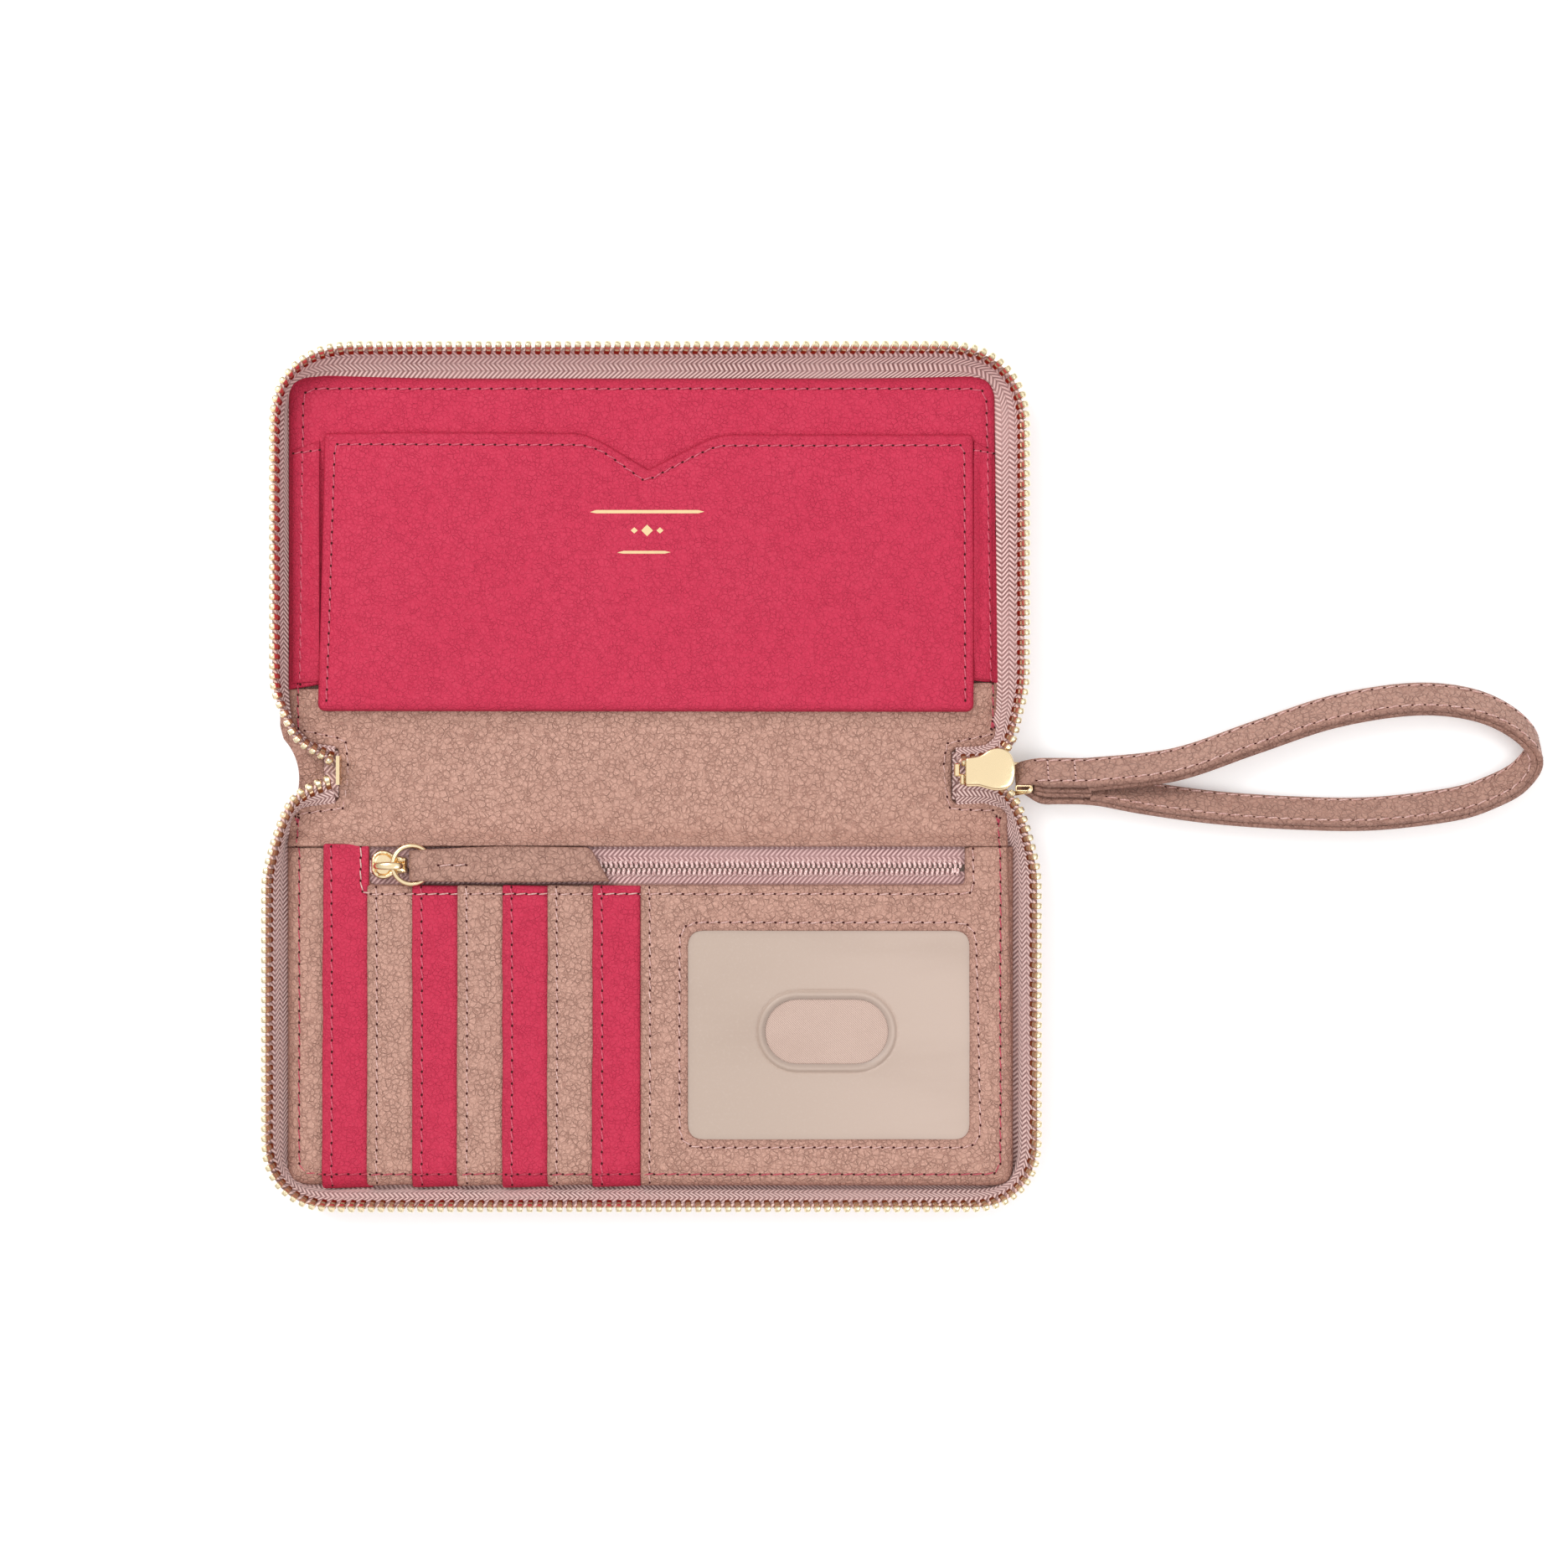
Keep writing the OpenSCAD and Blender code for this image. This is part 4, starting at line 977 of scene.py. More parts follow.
verts, faces = [], []
COIL_PITCH, COIL_LONG = 1.3, 150.2
loop_a = np.linspace(0, math.pi, 8)
for side in (-1, 1):
    for k in range(int(COIL_LONG / COIL_PITCH)):
        x = -69.2 + k * COIL_PITCH + (COIL_PITCH / 2 if side > 0 else 0)
        path = [(x + 0.12 * math.sin(2 * a), COIL_Y + side * (0.30 + 1.42 * (1 - math.cos(a)) / 2),
                 COIL_Z + 0.10 + 0.46 * math.sin(a)) for a in loop_a]
        ring = tube(path, 0.39, 7, closed=False, up=(1, 0, 0.01))
        n = sum(len(v) for v in verts)
        verts.append(np.concatenate(ring))
        faces += [[n + i for i in f] for f in rings(ring)]
obj = build("coin_zip_coil_rows", np.concatenate(verts), faces, [COIL], sharp=60)
attach(obj, "back_cover", "coin_zip_coil")
rows = [on(flat(3.98), [(-70, COIL_Y + dy), (79, COIL_Y + dy)], 0.0, 4) for dy in (-2.0, 2.0)]
obj = sew("coin_coil_stitches", rows, COIL, pitch=COIL_PITCH, thick=0.9, holes=False)
attach(obj, "back_cover")

# ---- front cover

def front_top(x, y):
    return FRONT_Z - front_dip(x, y) + 0.10 * noise(x * 0.05, y * 0.06, 41)


front_run = round_corners([(-90.0, 24.2), (-89.2, 100.2), (86.4, 100.2), (87.6, 24.8)],
                          [0, 3, 3, 0])
loop = round_corners([(-93.2, FRONT_SEAM_Y - 1.6), (-82, FRONT_SEAM_Y + 0.2),
                      (80, FRONT_SEAM_Y + 1.0), (89.4, FRONT_SEAM_Y + 0.2), (FRONT_HI[0], 100),
                      (85.5, FRONT_HI[1] + 0.6), (60, FRONT_HI[1]), (-60, FRONT_HI[1]),
                      (-88, FRONT_HI[1] + 0.9), (-93.1, FRONT_HI[1] - 1)],
                     [0.4, 2, 2, 0.4, 4, 4, 20, 20, 4, 4], 6)
obj = panel("front_lining_leather", [loop], lambda x, y, d: front_top(x, y) + 0.12,
            lambda x, y: np.where(front_dip(x, y) > 0.02, 1.75, 2.62), PINK, r=0.6, step=1.8,
            grooves=[(front_run, *SEAM)])
attach(obj, "front_cover", "front_lining")

POCKET = round_corners(
    [(-85.4, 17.3), (83.1, 17.1), (83.3, 60), (83.0, 88.3), (19.0, 88.35), (13.8, 86.6),
     (-0.4, 79.3), (-12.6, 86.6), (-17.6, 88.7), (-60, 89.0), (-83.7, 88.6), (-84.2, 60)],
    [2.2, 2.2, 20, 1.2, 2.6, 2.6, 0.5, 2.6, 2.6, 20, 1.2, 20], 7)
POCKET_RUN = round_corners([(-83.0, 20.0), (-80.9, 85.8), (-16.8, 85.6), (-12.0, 83.9),
                            (-1.2, 76.2), (11.6, 82.9), (17.4, 85.4), (80.7, 85.5), (80.9, 20.0)],
                           [0, 0.3, 2.4, 2.4, 0.2, 2.4, 2.4, 0.3, 0])


def pocket_top(x, y, d=None):
    """Padded panel: domed, flatter at its notched open edge, full and wrinkled at its fold."""
    p = np.column_stack([x, y])
    if d is None:
        d = distance(p, [segments(refine(POCKET, 3))])
    body = 1.35 + 1.25 * (1 - np.exp(-d / 7.0))
    low = np.exp(-np.clip(y - 17.2, 0, 60) / 4.4)
    body += 1.15 * low * (1 - np.exp(-d / 1.3)) - 0.30 * np.exp(-((y - 21.6) / 0.8) ** 2)
    ripple = noise(x * 0.62, y * 0.10, 51) * 0.20 * np.exp(-((y - 20.0) / 2.6) ** 2)
    ripple *= 0.35 + 0.65 * smooth((x - 20) / 40)
    slack = 0.16 * noise(x * 0.022, y * 0.04, 52)
    return POCKET_Z - 0.05 + body + ripple + slack


obj = panel("phone_pocket_leather", [POCKET], pocket_top, flat(POCKET_Z - 0.1), PINK, r=0.75,
            grooves=[(POCKET_RUN, 0.34, 1.0)])
attach(obj, "front_cover", "phone_pocket_panel")
rows = [on(pocket_top, POCKET_RUN, -0.2)]
attach(sew("pocket_stitches", rows, PINK_THREAD, pitch=2.9), "front_cover")


def gusset(side, outer_x, inner_x, low):
    """Thin side leather of the pocket: sewn down along the lining's edge, then folded inwards
    and up under the pocket's side. Returns its top surface."""
    def top(x, y, d=None):
        t = np.clip((x - outer_x) / (inner_x - outer_x), 0, 1)
        open_up = smooth((y - low) / 12) * smooth((88 - y) / 10)
        fold = 0.95 * smooth((t - 0.52) / 0.48) - 0.30 * np.exp(-((t - 0.55) / 0.10) ** 2)
        curl = 0.30 * noise(x * 0.35 + y * 0.16, y * 0.16, 61 + side) * smooth((t - 0.4) / 0.2)
        return front_top(x, y) + 0.50 + (fold + curl) * open_up
    loop = round_corners([(outer_x, low), (inner_x, low + 0.5), (inner_x, 86.8), (outer_x, 84.2)],
                         [0.4, 0.3, 0.3, 0.4])
    tag = "left" if side < 0 else "right"
    obj = panel("gusset_leather_" + tag, [loop], top, lambda x, y: front_top(x, y) + 0.14, PINK,
                r=0.26, step=0.9)
    attach(obj, "front_cover", "pocket_gusset_" + tag)
    rows = [on(top, [(outer_x + 0.4, 83.6), (inner_x, 84.4)], 0.04, 0.6)]
    attach(sew("gusset_stitches_" + tag, rows, PINK_THREAD, pitch=2.2), "front_cover")
    return top


GUSSET_LEFT = gusset(-1, -92.2, -84.9, 24.4)
GUSSET_RIGHT = gusset(1, 88.0, 83.1, 25.2)


def front_sewn(x, y):
    """Top of the lining, or of the gusset leather that lies on it."""
    z = front_top(x, y) + 0.12
    beside = (y > 24.6) & (y < 85)
    z = np.where(beside & (x < -84.9), GUSSET_LEFT(x, y), z)
    return np.where(beside & (x > 83.1), GUSSET_RIGHT(x, y), z)


rows = [on(front_sewn, front_run, -0.04)]
attach(sew("front_edge_stitches", rows, PINK_THREAD, pitch=3.0, thick=0.95), "front_cover")


def foil(name, shapes):
    """Thin stamped foil that follows the pocket's surface."""
    verts, faces = [], []
    for shape in shapes:
        loop = refine(shape, 0.8)
        n = len(verts)
        ring = np.concatenate([loop, grown(loop, 0.5), loop.mean(0)[None]])
        z = pocket_top(ring[:, 0], ring[:, 1]) + 0.035
        verts += list(np.column_stack([ring, z]))
        m = len(loop)
        for i in range(m):
            j = (i + 1) % m
            faces.append([n + i, n + j, n + m + j, n + m + i])
            faces.append([n + m + i, n + m + j, n + 2 * m])
        base = len(verts)
        verts += list(np.column_stack([loop, z[:m] - 0.08]))
        faces += [[n + i, base + i, base + (i + 1) % m, n + (i + 1) % m] for i in range(m)]
        faces.append([base + i for i in range(m - 1, -1, -1)])
    attach(build(name, verts, faces, [FOIL]), "front_cover")


def bar_shape(x0, x1, y, half):
    return round_corners([(x0, y - half * 0.3), (x0 + 1.6, y - half), (x1 - 1.6, y - half), (x1, y),
                          (x1 - 1.6, y + half), (x0 + 1.6, y + half)], half * 0.5, 3)


lozenges = [np.array([(x, 63.6 - h), (x + w, 63.6), (x, 63.6 + h), (x - w, 63.6)])
            for x, w, h in ((-0.7, 1.5, 1.5), (-4.0, 0.9, 0.8), (2.6, 0.9, 0.8))]
rules = [bar_shape(-15.4, 14.0, 68.4, 0.42), bar_shape(-8.4, 5.4, 58.0, 0.36)]
foil("foil_ornament", lozenges + rules)

# ---- main zip

def u_line(left, right, reach, r, side, z):
    """Line round three sides of a cover, its two far corners of radius r."""
    end_y = 23.4
    a = np.linspace(0, math.pi / 2, 14)
    p = [(left, end_y)]
    p += [(left + r - r * math.cos(t), reach - r + r * math.sin(t)) for t in a]
    p += [(right - r + r * math.sin(t), reach - r + r * math.cos(t)) for t in a]
    p += [(right, end_y)]
    p = refine(np.array(p), 2.0, False)
    return np.column_stack([p[:, 0], side * p[:, 1], np.full(len(p), z)])


def relax(p, times):
    """Smooths a line, keeping its two ends."""
    for _ in range(times):
        p = np.concatenate([p[:1], 0.25 * p[:-2] + 0.5 * p[1:-1] + 0.25 * p[2:], p[-1:]])
    return p


def rails(ends_tip, ends_root, tip_u, root_u):
    """Tip and root line of one cover's whole tape: left end, round the cover, right end."""
    out = []
    for (left, right), u in ((ends_tip, tip_u), (ends_root, root_u)):
        left, right = curve(left, 5)[::-1], curve(right, 5)
        line = [at_length(p, np.linspace(0, lengths(p)[-1], k), lengths(p))
                for p, k in ((left, 46), (u, 420), (right, 46))]
        out.append(relax(np.concatenate(line), 14))
    return out


TIP_B, ROOT_B = rails(
    ([(-97.6, -21.8, 11.2), (-95.3, -13.8, 10.4), (-91.6, -4.9, 8.6), (-86.4, -1.0, 7.2),
      (-82.2, 0.9, 6.4)],
     [(99.2, -21.8, 11.2), (97.0, -13.4, 10.8), (94.0, -5.2, 9.9), (89.8, -0.2, 9.15),
      (84.6, 1.3, 9.15), (78.8, 1.3, 9.15)]),
    ([(-94.4, -22.0, 1.4), (-93.6, -13.6, 1.7), (-91.0, -8.0, 2.0), (-85.6, -7.0, 2.0),
      (-81.0, -6.4, 2.0)],
     [(94.4, -22.0, 1.4), (93.4, -14.4, 1.7), (91.4, -8.0, 2.0), (86.6, -6.4, 2.0),
      (82.6, -6.6, 2.0), (78.6, -6.6, 2.0)]),
    u_line(-98.5, 99.7, 110.1, 16, -1, 11.2), u_line(-94.5, 94.5, 105.6, 9, -1, 1.4))
TIP_F, ROOT_F = rails(
    ([(-95.9, 21.8, 11.2), (-93.4, 16.3, 10.4), (-90.4, 9.8, 8.6), (-85.2, 6.1, 7.2),
      (-81.6, 3.4, 6.4)],
     [(96.4, 21.8, 11.2), (94.6, 15.2, 10.8), (93.2, 9.2, 9.9), (89.6, 5.2, 9.15),
      (84.6, 3.7, 9.15), (78.8, 3.7, 9.15)]),
    ([(-94.1, 22.0, 1.4), (-92.6, 14.8, 1.7), (-89.4, 10.6, 2.0), (-85.4, 8.8, 2.0),
      (-81.0, 8.2, 2.0)],
     [(90.0, 22.0, 1.4), (89.6, 15.4, 1.7), (88.0, 9.6, 2.0), (85.0, 8.4, 2.0),
      (82.0, 8.2, 2.0), (78.6, 7.9, 2.0)]),
    u_line(-96.3, 96.8, 111.2, 19, 1, 11.2), u_line(-94.2, 89.8, 104.2, 9, 1, 1.4))


TOOTH_PITCH, TOOTH_LONG = 2.54, 3.68


def zip_half(name, tip, root, tape_nodes, teeth_nodes):
    """Tape from under the lining up to its corded edge, and the row of teeth on that edge."""
    run = lengths(tip)
    n = int(run[-1] / 1.2)
    s = np.linspace(0, run[-1], n)
    a, b = at_length(root, s, run), at_length(tip, s, run)
    t = tangents(b)
    out = unit(np.cross(t, b - a))
    inward = unit((a - b) * (1, 1, 0))
    # where the tape runs: how far under the lining, and its share of the way from root to tip
    stations = [(2.4, 0.0), (0.8, 0.0), (0.0, 0.05), (0.0, 0.22), (0.0, 0.42), (0.0, 0.6),
                (0.0, 0.74)]
    wave = np.column_stack([np.zeros(n), np.zeros(n), noise(s * 0.06, 0, 71)]) * 0.15
    front, back = [], []
    for inset, rise in stations:
        sag = 0.55 * math.sin(rise * math.pi / 0.8)
        p = a + inward * inset + (b - a) * rise - out * sag + wave * (rise > 0)
        front.append(p + out * 0.22)
        back.append(p - out * 0.22)
    bead = a + (b - a) * 0.78
    cord = [bead + 0.55 * (math.cos(q) * out + math.sin(q) * unit(b - a))
            for q in np.linspace(-0.2, math.pi + 0.2, 7)]
    verts = np.stack(front + cord + back[::-1], 1)
    lay = [10.0 * rise - inset for inset, rise in stations]
    lay = lay + list(np.linspace(7.8, 9.2, len(cord))) + lay[::-1]
    uv = np.stack(np.broadcast_arrays(s[:, None], np.array(lay)), 2).reshape(-1, 2)
    obj = build(name + "_tape", verts.reshape(-1, 3), rings(list(verts)), [TAPE], sharp=50,
                uv=uv + 20)
    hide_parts(*tape_nodes)
    bend(obj)

    # one tooth: height over its foot, half width along the tape, half thickness
    spots = [(0.0, 0.50, 0.80), (0.2, 0.68, 1.02), (1.5, 0.70, 1.04), (1.8, 0.62, 0.86),
             (2.1, 0.70, 0.84), (2.6, 0.82, 0.90), (3.1, 0.80, 0.88), (3.5, 0.62, 0.68),
             (3.72, 0.28, 0.34)]
    shape = []
    for z, hx, hy in spots:
        c = min(hx, hy) * 0.34    # chamfer of the tooth's four corners
        shape.append([(hx, hy - c, z), (hx - c, hy, z), (c - hx, hy, z), (-hx, hy - c, z),
                      (-hx, c - hy, z), (c - hx, -hy, z), (hx - c, -hy, z), (hx, c - hy, z)])
    tv = np.array(shape).reshape(-1, 3)
    marks = np.arange(0.9, run[-1] - 0.8, TOOTH_PITCH)
    ra, rb = at_length(root, marks, run), at_length(tip, marks, run)
    rt = at_length(t, marks, s)
    frames = []
    for k in range(len(marks)):
        c = unit(rb[k] - ra[k])
        x = unit(rt[k] - c * (rt[k] @ c))
        frames.append((rb[k] - c * TOOTH_LONG, x, np.cross(c, x), c))
    v, f = copies(tv, rings(shape), frames)
    tip_share = np.tile(tv[:, 2] / TOOTH_LONG, len(frames))
    obj = build(name + "_metal_teeth", v, f, [TEETH], sharp=30, floats={"tip": tip_share})
    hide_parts(*teeth_nodes)
    bend(obj)


zip_half("back_zip", TIP_B, ROOT_B,
         ["back_zip_tape", "zip_end_tape_left", "zip_end_tape_right"],
         ["back_zip_teeth", "zip_end_teeth_left", "zip_end_teeth_right"])
zip_half("front_zip", TIP_F, ROOT_F,
         ["front_zip_tape", "zip_end_tape_left", "zip_end_tape_right"],
         ["front_zip_teeth", "zip_end_teeth_left", "zip_end_teeth_right"])

STOP_LO, STOP_HI = box_mm("zip_stop_right")
verts, faces = [], []
for x0, y0, x1, y1 in ((77.9, 0.5, 79.3, 3.9), (79.4, -1.6, 80.5, 1.2)):
    shape = [(x0, y0, x1, y1, STOP_LO[2] + 0.2), (x0, y0, x1, y1, STOP_HI[2] - 0.3),
             (x0 + 0.25, y0 + 0.25, x1 - 0.25, y1 - 0.25, STOP_HI[2])]
    loops = [np.column_stack([rect(a, b, c, d, 0.3), np.full(28, z)]) for a, b, c, d, z in shape]
    n = sum(len(v) for v in verts)
    verts.append(np.concatenate(loops))
    faces += [[n + i for i in f] for f in rings(loops)]
obj = build("zip_stop_bars_right", np.concatenate(verts), faces, [GOLD])
attach(obj, "spine", "zip_stop_right")

# ---- main slider and puller

SLIDER = round_corners(
    [(80.7, -1.7), (84.2, -1.6), (86.4, -2.3), (88.2, -2.75), (91.0, -2.6), (92.8, -1.4),
     (93.7, 2.4), (92.4, 6.3), (90.6, 7.6), (88.6, 7.9), (86.8, 7.4), (84.4, 5.7), (80.7, 5.2)],
    [0.7, 3, 2, 1.5, 1.5, 2, 3, 2, 1.5, 1.5, 2, 3, 0.7], 6)


def slider_plate(name, loop, top, low, r):
    attach(panel(name, [loop], top, flat(low), GOLD, r=r, step=0.7), "main_slider", "slider_body")


slider_plate("slider_top_plate", SLIDER,
             lambda x, y, d: 11.0 + 0.45 * (1 - np.exp(-d / 2.4)), 10.05, 0.35)
slider_plate("slider_skirt", grown(SLIDER, 0.965) + (-0.1, -0.50), flat(9.95), 9.2, 0.22)
slider_plate("slider_lower_plate", grown(SLIDER, 0.94), flat(7.9), 7.0, 0.25)
post = [(91.6 + 1.3 * math.cos(a), 2.5 + 0.95 * math.sin(a))
        for a in np.linspace(0, 2 * math.pi, 20)[:-1]]
slider_plate("slider_post", np.array(post), flat(10.2), 7.8, 0.1)

# the puller's inclined bar, which the strap wraps round: its middle and direction
BAR = np.array([97.0, -0.3, 6.5])
LEAN = np.array([0.0, -math.sin(math.pi / 4), math.cos(math.pi / 4)])


def wire(name, points, r, nodes, cut, up):
    """Closed wire through the points, rounded from cut before each to cut after it."""
    p = np.asarray(points, float)
    out = []
    for i in range(len(p)):
        a, b, c = p[i - 1], p[i], p[(i + 1) % len(p)]
        u, v = b + cut * unit(a - b), b + cut * unit(c - b)
        out += [u * (1 - t) ** 2 + v * t ** 2 + b * 2 * t * (1 - t) for t in np.linspace(0, 1, 6)]
    ring = tube(out, r, 14, up=up)
    obj = build(name, np.concatenate(ring), rings(ring, closed=True), [GOLD], sharp=60)
    attach(obj, "main_puller", *nodes)


hi, lo = BAR + 5.2 * LEAN + (0.5, 0.9, 0.2), BAR - 5.6 * LEAN
loop = [(87.6, -3.8, 4.9), (93.4, -3.9, 6.4), hi, lo, (93.2, 3.6, 2.2), (87.6, 5.4, 4.9)]
wire("puller_wire", loop, 0.6, ["puller_loop"], 1.1, (0, -0.4, 0.9))
link = [(93.7, -3.1, 9.3), (97.7, -3.1, 10.2), (97.7, -1.9, 10.2), (93.7, -1.9, 9.3)]
wire("puller_link", link, 0.24, [], 0.4, (0, 0, 1))

# ---- wrist strap

LINE = curve([(98.6, 1.0, 8.2), (106, 1.0, 7.6), (114.6, 1.2, 7.4), (134.8, 3.6, 6.6),
              (155.1, 10.4, 5.4), (175.4, 17.1, 4.9), (195.7, 20.3, 4.8), (210.9, 19.0, 4.8),
              (221.6, 14.2, 4.8), (227.2, 7.4, 4.8), (223.6, 0.9, 4.8), (216.1, -3.4, 4.8),
              (205.9, -6.6, 4.8), (185.5, -9.0, 4.8), (165.3, -8.8, 4.8), (144.9, -7.4, 4.8),
              (126.6, -4.9, 4.8), (114.6, -2.7, 4.8), (106, -2.3, 4.8), (98.6, -2.5, 4.75)], 10)
PLY = 1.5


def band(name, line, t, low, high, half, closed, node):
    """A ply of leather swept along a line: low to high across its thickness, rounded edges. Its
    lower edge as it lies runs in towards the puller."""
    n = unit(np.cross(LEAN, t))
    a = np.linspace(-math.pi / 2, math.pi / 2, 7)
    mid, r = (low + high) / 2, (high - low) / 2
    ring = []
    for sign in (1, -1):
        for q in a:
            w = sign * (half - r * 0.8 + r * 0.8 * math.cos(q))
            ring.append((mid + sign * r * math.sin(q), w))
        flat_w = np.linspace(0.6, -0.6, 5) * (half - r * 0.8) * sign
        for w in flat_w:
            crown = 0.10 * (1 - (w / half) ** 2)
            ring.append((mid + sign * (r + crown), w))
    loops = []
    for i in range(len(line)):
        narrow = 0.64 + 0.36 * float(smooth((line[i][0] - 95.6) / 6.5))
        loops.append([line[i] + n[i] * d + LEAN * w * (narrow if w > 0 else 1.0) for d, w in ring])
    v = np.array(loops).reshape(-1, 3)
    edge = np.tile([math.exp(-(half - abs(w)) / 0.45) for _, w in ring], len(line))
    obj = build(name, v, rings(loops, closed=closed), [STRAP_TAUPE], sharp=50,
                floats={"edge": edge})
    attach(obj, "wrist_strap", node)


line_t = tangents(LINE)
line_n = unit(np.cross(LEAN, line_t))
around = [BAR + 1.72 * np.array([1.55 * math.cos(a), math.sin(a) * LEAN[2], math.sin(a) * LEAN[2]])
          for a in np.radians(np.linspace(270, 90, 19))]
outer_line = np.concatenate([LINE + line_n * PLY / 2, np.array(around)])
for _ in range(8):    # eases the line where it turns into the wrap round the bar
    eased = (np.roll(outer_line, 1, 0) + 2 * outer_line + np.roll(outer_line, -1, 0)) / 4
    outer_line = np.where(outer_line[:, :1] < 103, eased, outer_line)
outer_t = tangents(outer_line, closed=True)
band("strap_outer_ply", outer_line, outer_t, -PLY / 2, PLY / 2, 5.0, True, "strap_band")
span = slice(18, len(LINE) - 18)
band("strap_inner_ply", LINE[span], line_t[span], -PLY, -0.04, 4.9, False, "strap_lining")
tail = np.array([(x, -0.66 - 0.09 * (x - 102) / 10, 6.15) for x in np.linspace(98.4, 112.9, 15)])
band("strap_sewn_tail", tail, tangents(tail), -1.22, -0.04, 4.9, False, "strap_tail")
band("strap_sewn_tail_upper", tail, tangents(tail), 0.04, 1.22, 4.6, False, "strap_tail")


def strap_run(indices, depth, across):
    """Sewn line along the strap at a depth through its thickness and a place across its width."""
    i = list(indices)
    return LINE[i] + line_n[i] * depth + LEAN * across, line_n[i] * (1 if depth > 0 else -1)


outer = range(0, len(LINE) - 5)
inner = range(24, len(LINE) - 22)
rows = [strap_run(outer, PLY + 0.06, 3.65), strap_run(outer, PLY + 0.06, -3.65),
        strap_run(inner, -PLY - 0.02, 3.65), strap_run(inner, -PLY - 0.02, -3.65)]
attach(sew("strap_stitches", rows, PALE_THREAD, pitch=3.2), "wrist_strap")
rows = []
for x in (101.8, 108.6):
    i = int(np.argmin(np.abs(LINE[:100, 0] - x)))
    p = LINE[i] + line_n[i] * (PLY + 0.10)
    rows.append((np.array([p + LEAN * w for w in (-3.6, 0, 3.6)]), np.tile(line_n[i], (3, 1))))
attach(sew("strap_cross_stitches", rows, PALE_THREAD, pitch=2.0), "wrist_strap")

# ---- coin zip's slider and pull

bean = round_corners([(-71.5, -24.0), (-70.0, -25.6), (-67.6, -25.9), (-65.6, -24.6),
                      (-62.3, -24.2), (-62.3, -20.4), (-65.6, -19.6), (-67.6, -18.3),
                      (-70.0, -18.5), (-71.5, -20.0)],
                     [1.6, 1.6, 1.6, 1.2, 0.5, 0.5, 1.2, 1.6, 1.6, 1.6], 5)
obj = panel("coin_slider_plate", [bean],
            lambda x, y, d: 5.62 + 0.42 * np.exp(-((d - 0.55) / 0.42) ** 2), flat(5.08), GOLD,
            r=0.28, step=0.45)
attach(obj, "coin_slider", "coin_slider_body")
obj = panel("coin_slider_under", [grown(bean, 0.94)], flat(3.35), flat(2.76), GOLD, r=0.2, step=0.8)
attach(obj, "coin_slider", "coin_slider_body")
arch = curve([(-70.6, 5.5), (-70.4, 6.7), (-69.2, 7.7), (-67.4, 8.4), (-65.6, 8.55), (-64.2, 8.1),
              (-63.5, 7.0), (-63.4, 5.5)], 5)
sections = []
arch_t = tangents(arch)
for i, (x, z) in enumerate(arch):
    up = 0.34 * np.array([-arch_t[i][1], 0, arch_t[i][0]])
    wide = np.array([0, 0.62 + 0.30 * math.sin(math.pi * i / (len(arch) - 1)), 0])
    sections.append([(x, -22.4, z) + up * math.sin(a) + wide * math.cos(a)
                     for a in np.arange(12) * math.pi / 6])
obj = build("coin_slider_bridge", np.concatenate(sections), rings(sections), [GOLD], sharp=60)
attach(obj, "coin_slider", "coin_slider_body")

a = np.arange(72) * 2 * math.pi / 72
circle = np.column_stack([-61 + 4.9 * np.cos(a), -22.1 + 4.9 * np.sin(a), np.full(72, 7.2)])
ring = tube(circle, 0.6, 16)
obj = build("coin_pull_wire_ring", np.concatenate(ring), rings(ring, closed=True), [GOLD], sharp=60)
attach(obj, "coin_pull", "coin_pull_ring")

TAB = round_corners([(-61.6, -26.1), (-56, -26.4), (-40, -26.7), (-10.2, -26.4), (-14.9, -18.2),
                     (-16.2, -17.6), (-40, -17.3), (-56, -18.1), (-61.6, -18.4)],
                    [0.6, 4, 10, 0.7, 1.0, 1.0, 10, 4, 0.6], 5)


def tab_roll(x):
    """How far the tab's end has turned in, at its fold round the ring."""
    return np.clip(1 - (x + 61.6) / 1.5, 0, 1) ** 2


def tab_top(x, y, d=None):
    bulge = 1.55 * np.exp(-(np.clip(x + 60.0, 0, 99) / 6.5) ** 2)
    return 7.35 + bulge - 1.2 * tab_roll(x) + 0.07 * noise(x * 0.11, y * 0.2, 81)


def tab_under(x, y):
    """Lifted towards its free end, which passes over the ID panel's edge as the zip opens."""
    return 5.56 + 0.9 * tab_roll(x) + 0.85 * smooth((x + 27) / 9)


tack = [(-54.1, -22.2), (-47.0, -22.15)]
obj = panel("pull_tab_leather", [TAB], tab_top, tab_under, STRAP_TAUPE, r=0.45, step=1.2,
            grooves=[(tack, 0.3, 1.0)])
attach(obj, "coin_pull", "coin_pull_tab")
attach(sew("pull_tab_stitches", [on(tab_top, tack, -0.1)], PALE_THREAD, pitch=3.5), "coin_pull")

# ---- CAD nodes that stay

finishes = {"back_board": BOARD, "front_board": BOARD, "coin_pocket_lining": TWILL,
            "id_backing": TWILL, "coin_zip_stops": COIL, "zip_stop_left": GOLD,
            "slider_bridge": GOLD}
for node, mat in finishes.items():
    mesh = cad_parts[node].data
    mesh.materials.clear()
    mesh.materials.append(mat)

# ---- floor, light and camera

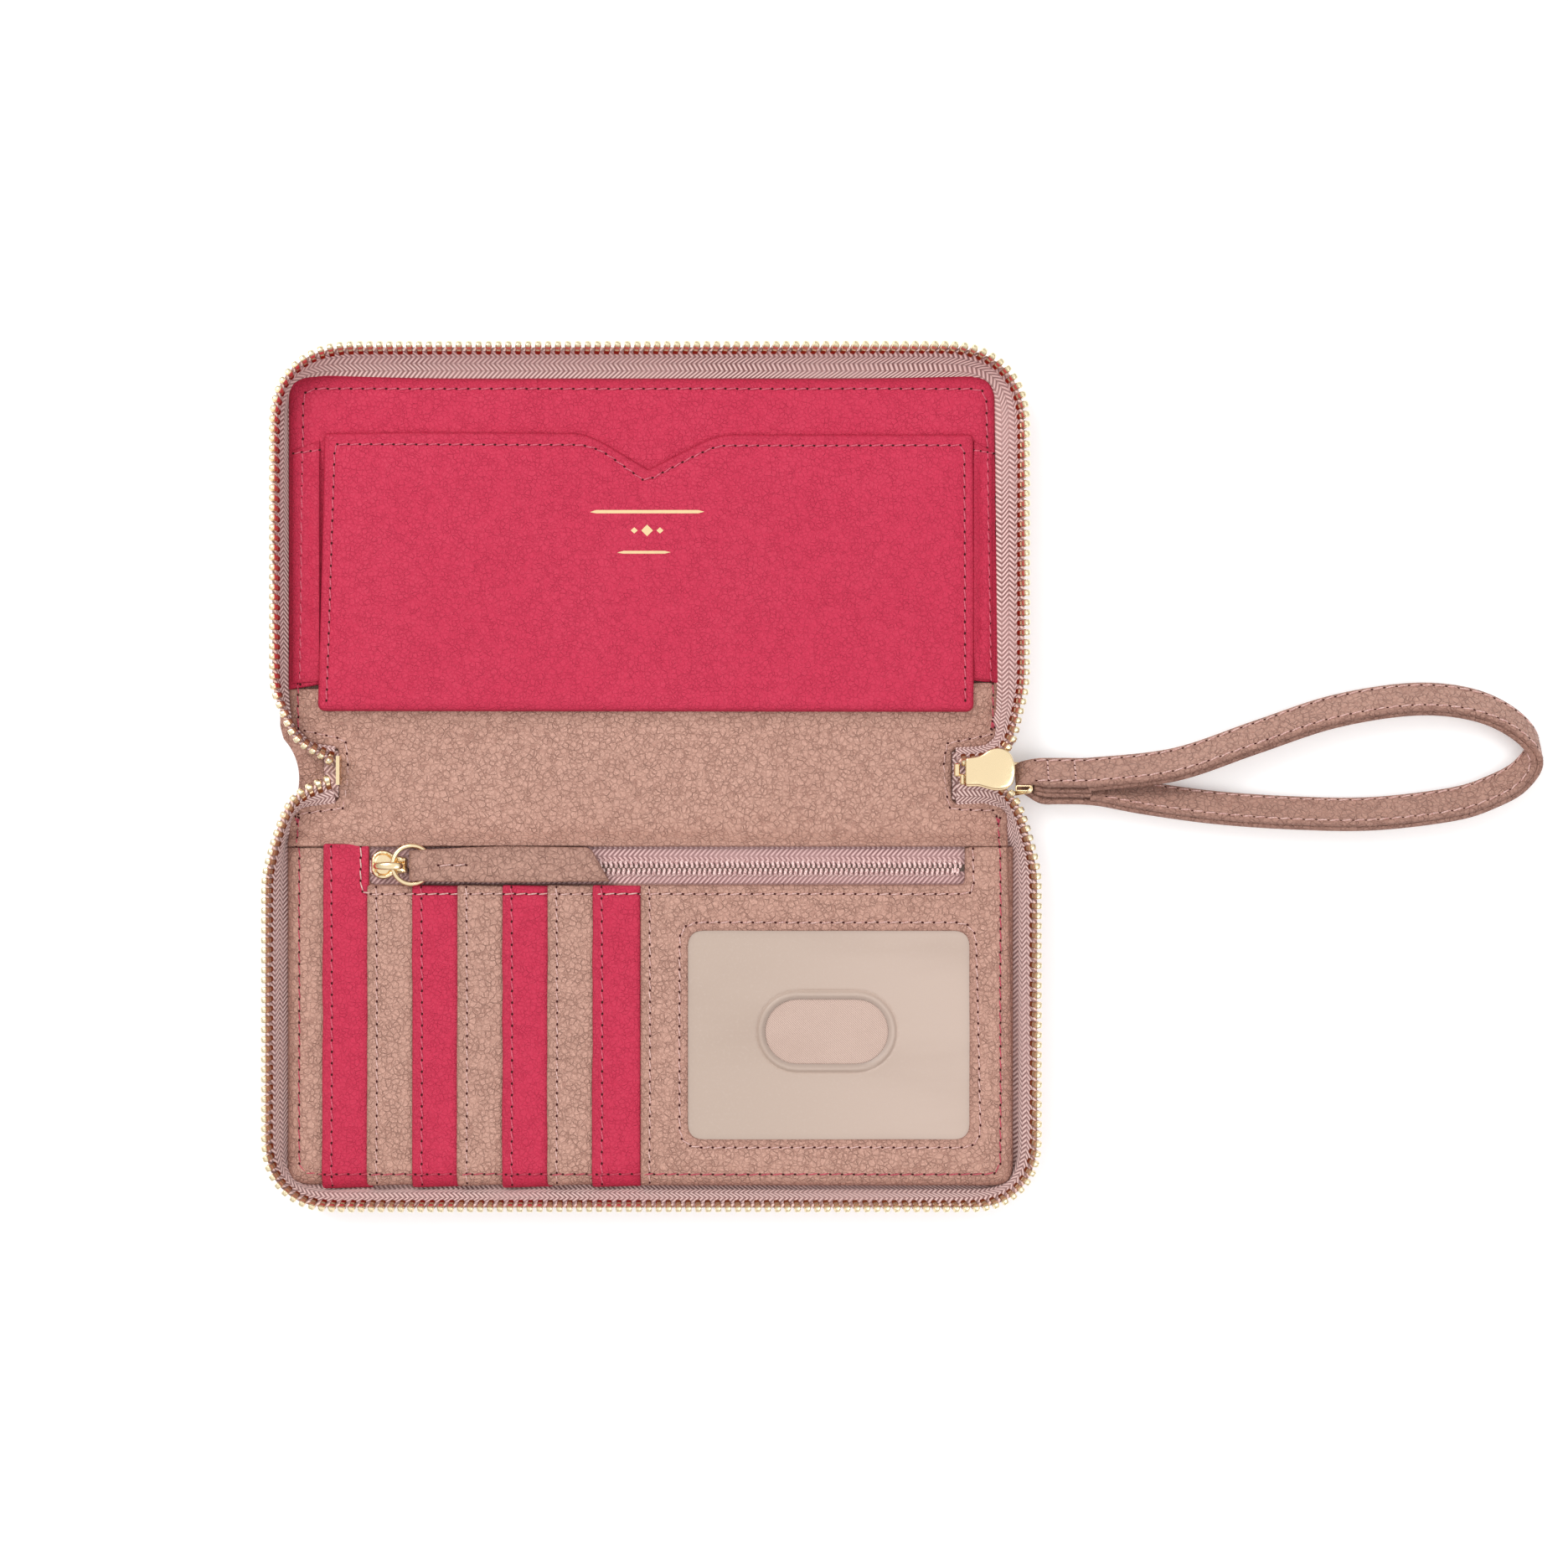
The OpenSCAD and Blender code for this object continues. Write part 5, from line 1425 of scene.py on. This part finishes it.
FLOOR_HALF, FLOOR_Z = 3.0, -0.0004
mesh = bpy.data.meshes.new("floor")
mesh.from_pydata([(x * FLOOR_HALF, y * FLOOR_HALF, FLOOR_Z)
                  for x, y in ((-1, -1), (1, -1), (1, 1), (-1, 1))], [], [(0, 1, 2, 3)])
floor = bpy.data.objects.new("floor", mesh)
scene.collection.objects.link(floor)
m = Nodes("pale_floor")
soft = m.noise(m.coords(), 3.0)
m.set(color=m.mix((0.93, 0.93, 0.93, 1), (0.96, 0.96, 0.96, 1), soft), rough=0.9, spec=0.0)
m.bsdf.inputs["Emission Color"].default_value = (1.0, 1.0, 1.0, 1.0)
m.bsdf.inputs["Emission Strength"].default_value = 0.18
mesh.materials.append(m.mat)

world = bpy.data.worlds.new("studio")
scene.world = world
world.use_nodes = True
tree = world.node_tree
split = tree.nodes.new("ShaderNodeSeparateXYZ")
tree.links.new(tree.nodes.new("ShaderNodeTexCoord").outputs["Generated"], split.inputs[0])
fade = tree.nodes.new("ShaderNodeMapRange")
tree.links.new(split.outputs[2], fade.inputs[0])
for i, v in enumerate((0.05, 0.75, 0.30, 1.0)):
    fade.inputs[i + 1].default_value = v
tree.links.new(fade.outputs[0], tree.nodes["Background"].inputs[0])
tree.nodes["Background"].inputs[1].default_value = 0.98


def lamp(name, place, size, power):
    """Square area light aimed at the middle of the wallet and strap."""
    target = (0.03, 0.0, 0.0)
    data = bpy.data.lights.new(name, "AREA")
    data.shape, data.size, data.energy = "SQUARE", size, power
    obj = bpy.data.objects.new(name, data)
    scene.collection.objects.link(obj)
    obj.location = place
    obj.rotation_euler = (Vector(target) - Vector(place)).to_track_quat("-Z", "Y").to_euler()


lamp("key", (-0.75, 0.75, 1.0), 0.8, 11.0)
lamp("fill", (0.8, -0.5, 1.1), 1.0, 5.0)

scene.view_settings.view_transform = "Standard"
data = bpy.data.cameras.new("camera")
camera = bpy.data.objects.new("camera", data)
scene.collection.objects.link(camera)
scene.camera = camera
camera.location = (0.0344, 0.0009, 0.951)
data.sensor_width = 36.0
data.lens = 36.0 * 946.0 / 402.5      # 402.5 mm fills the frame's width at 946 mm
data.clip_start, data.clip_end = 0.05, 20.0
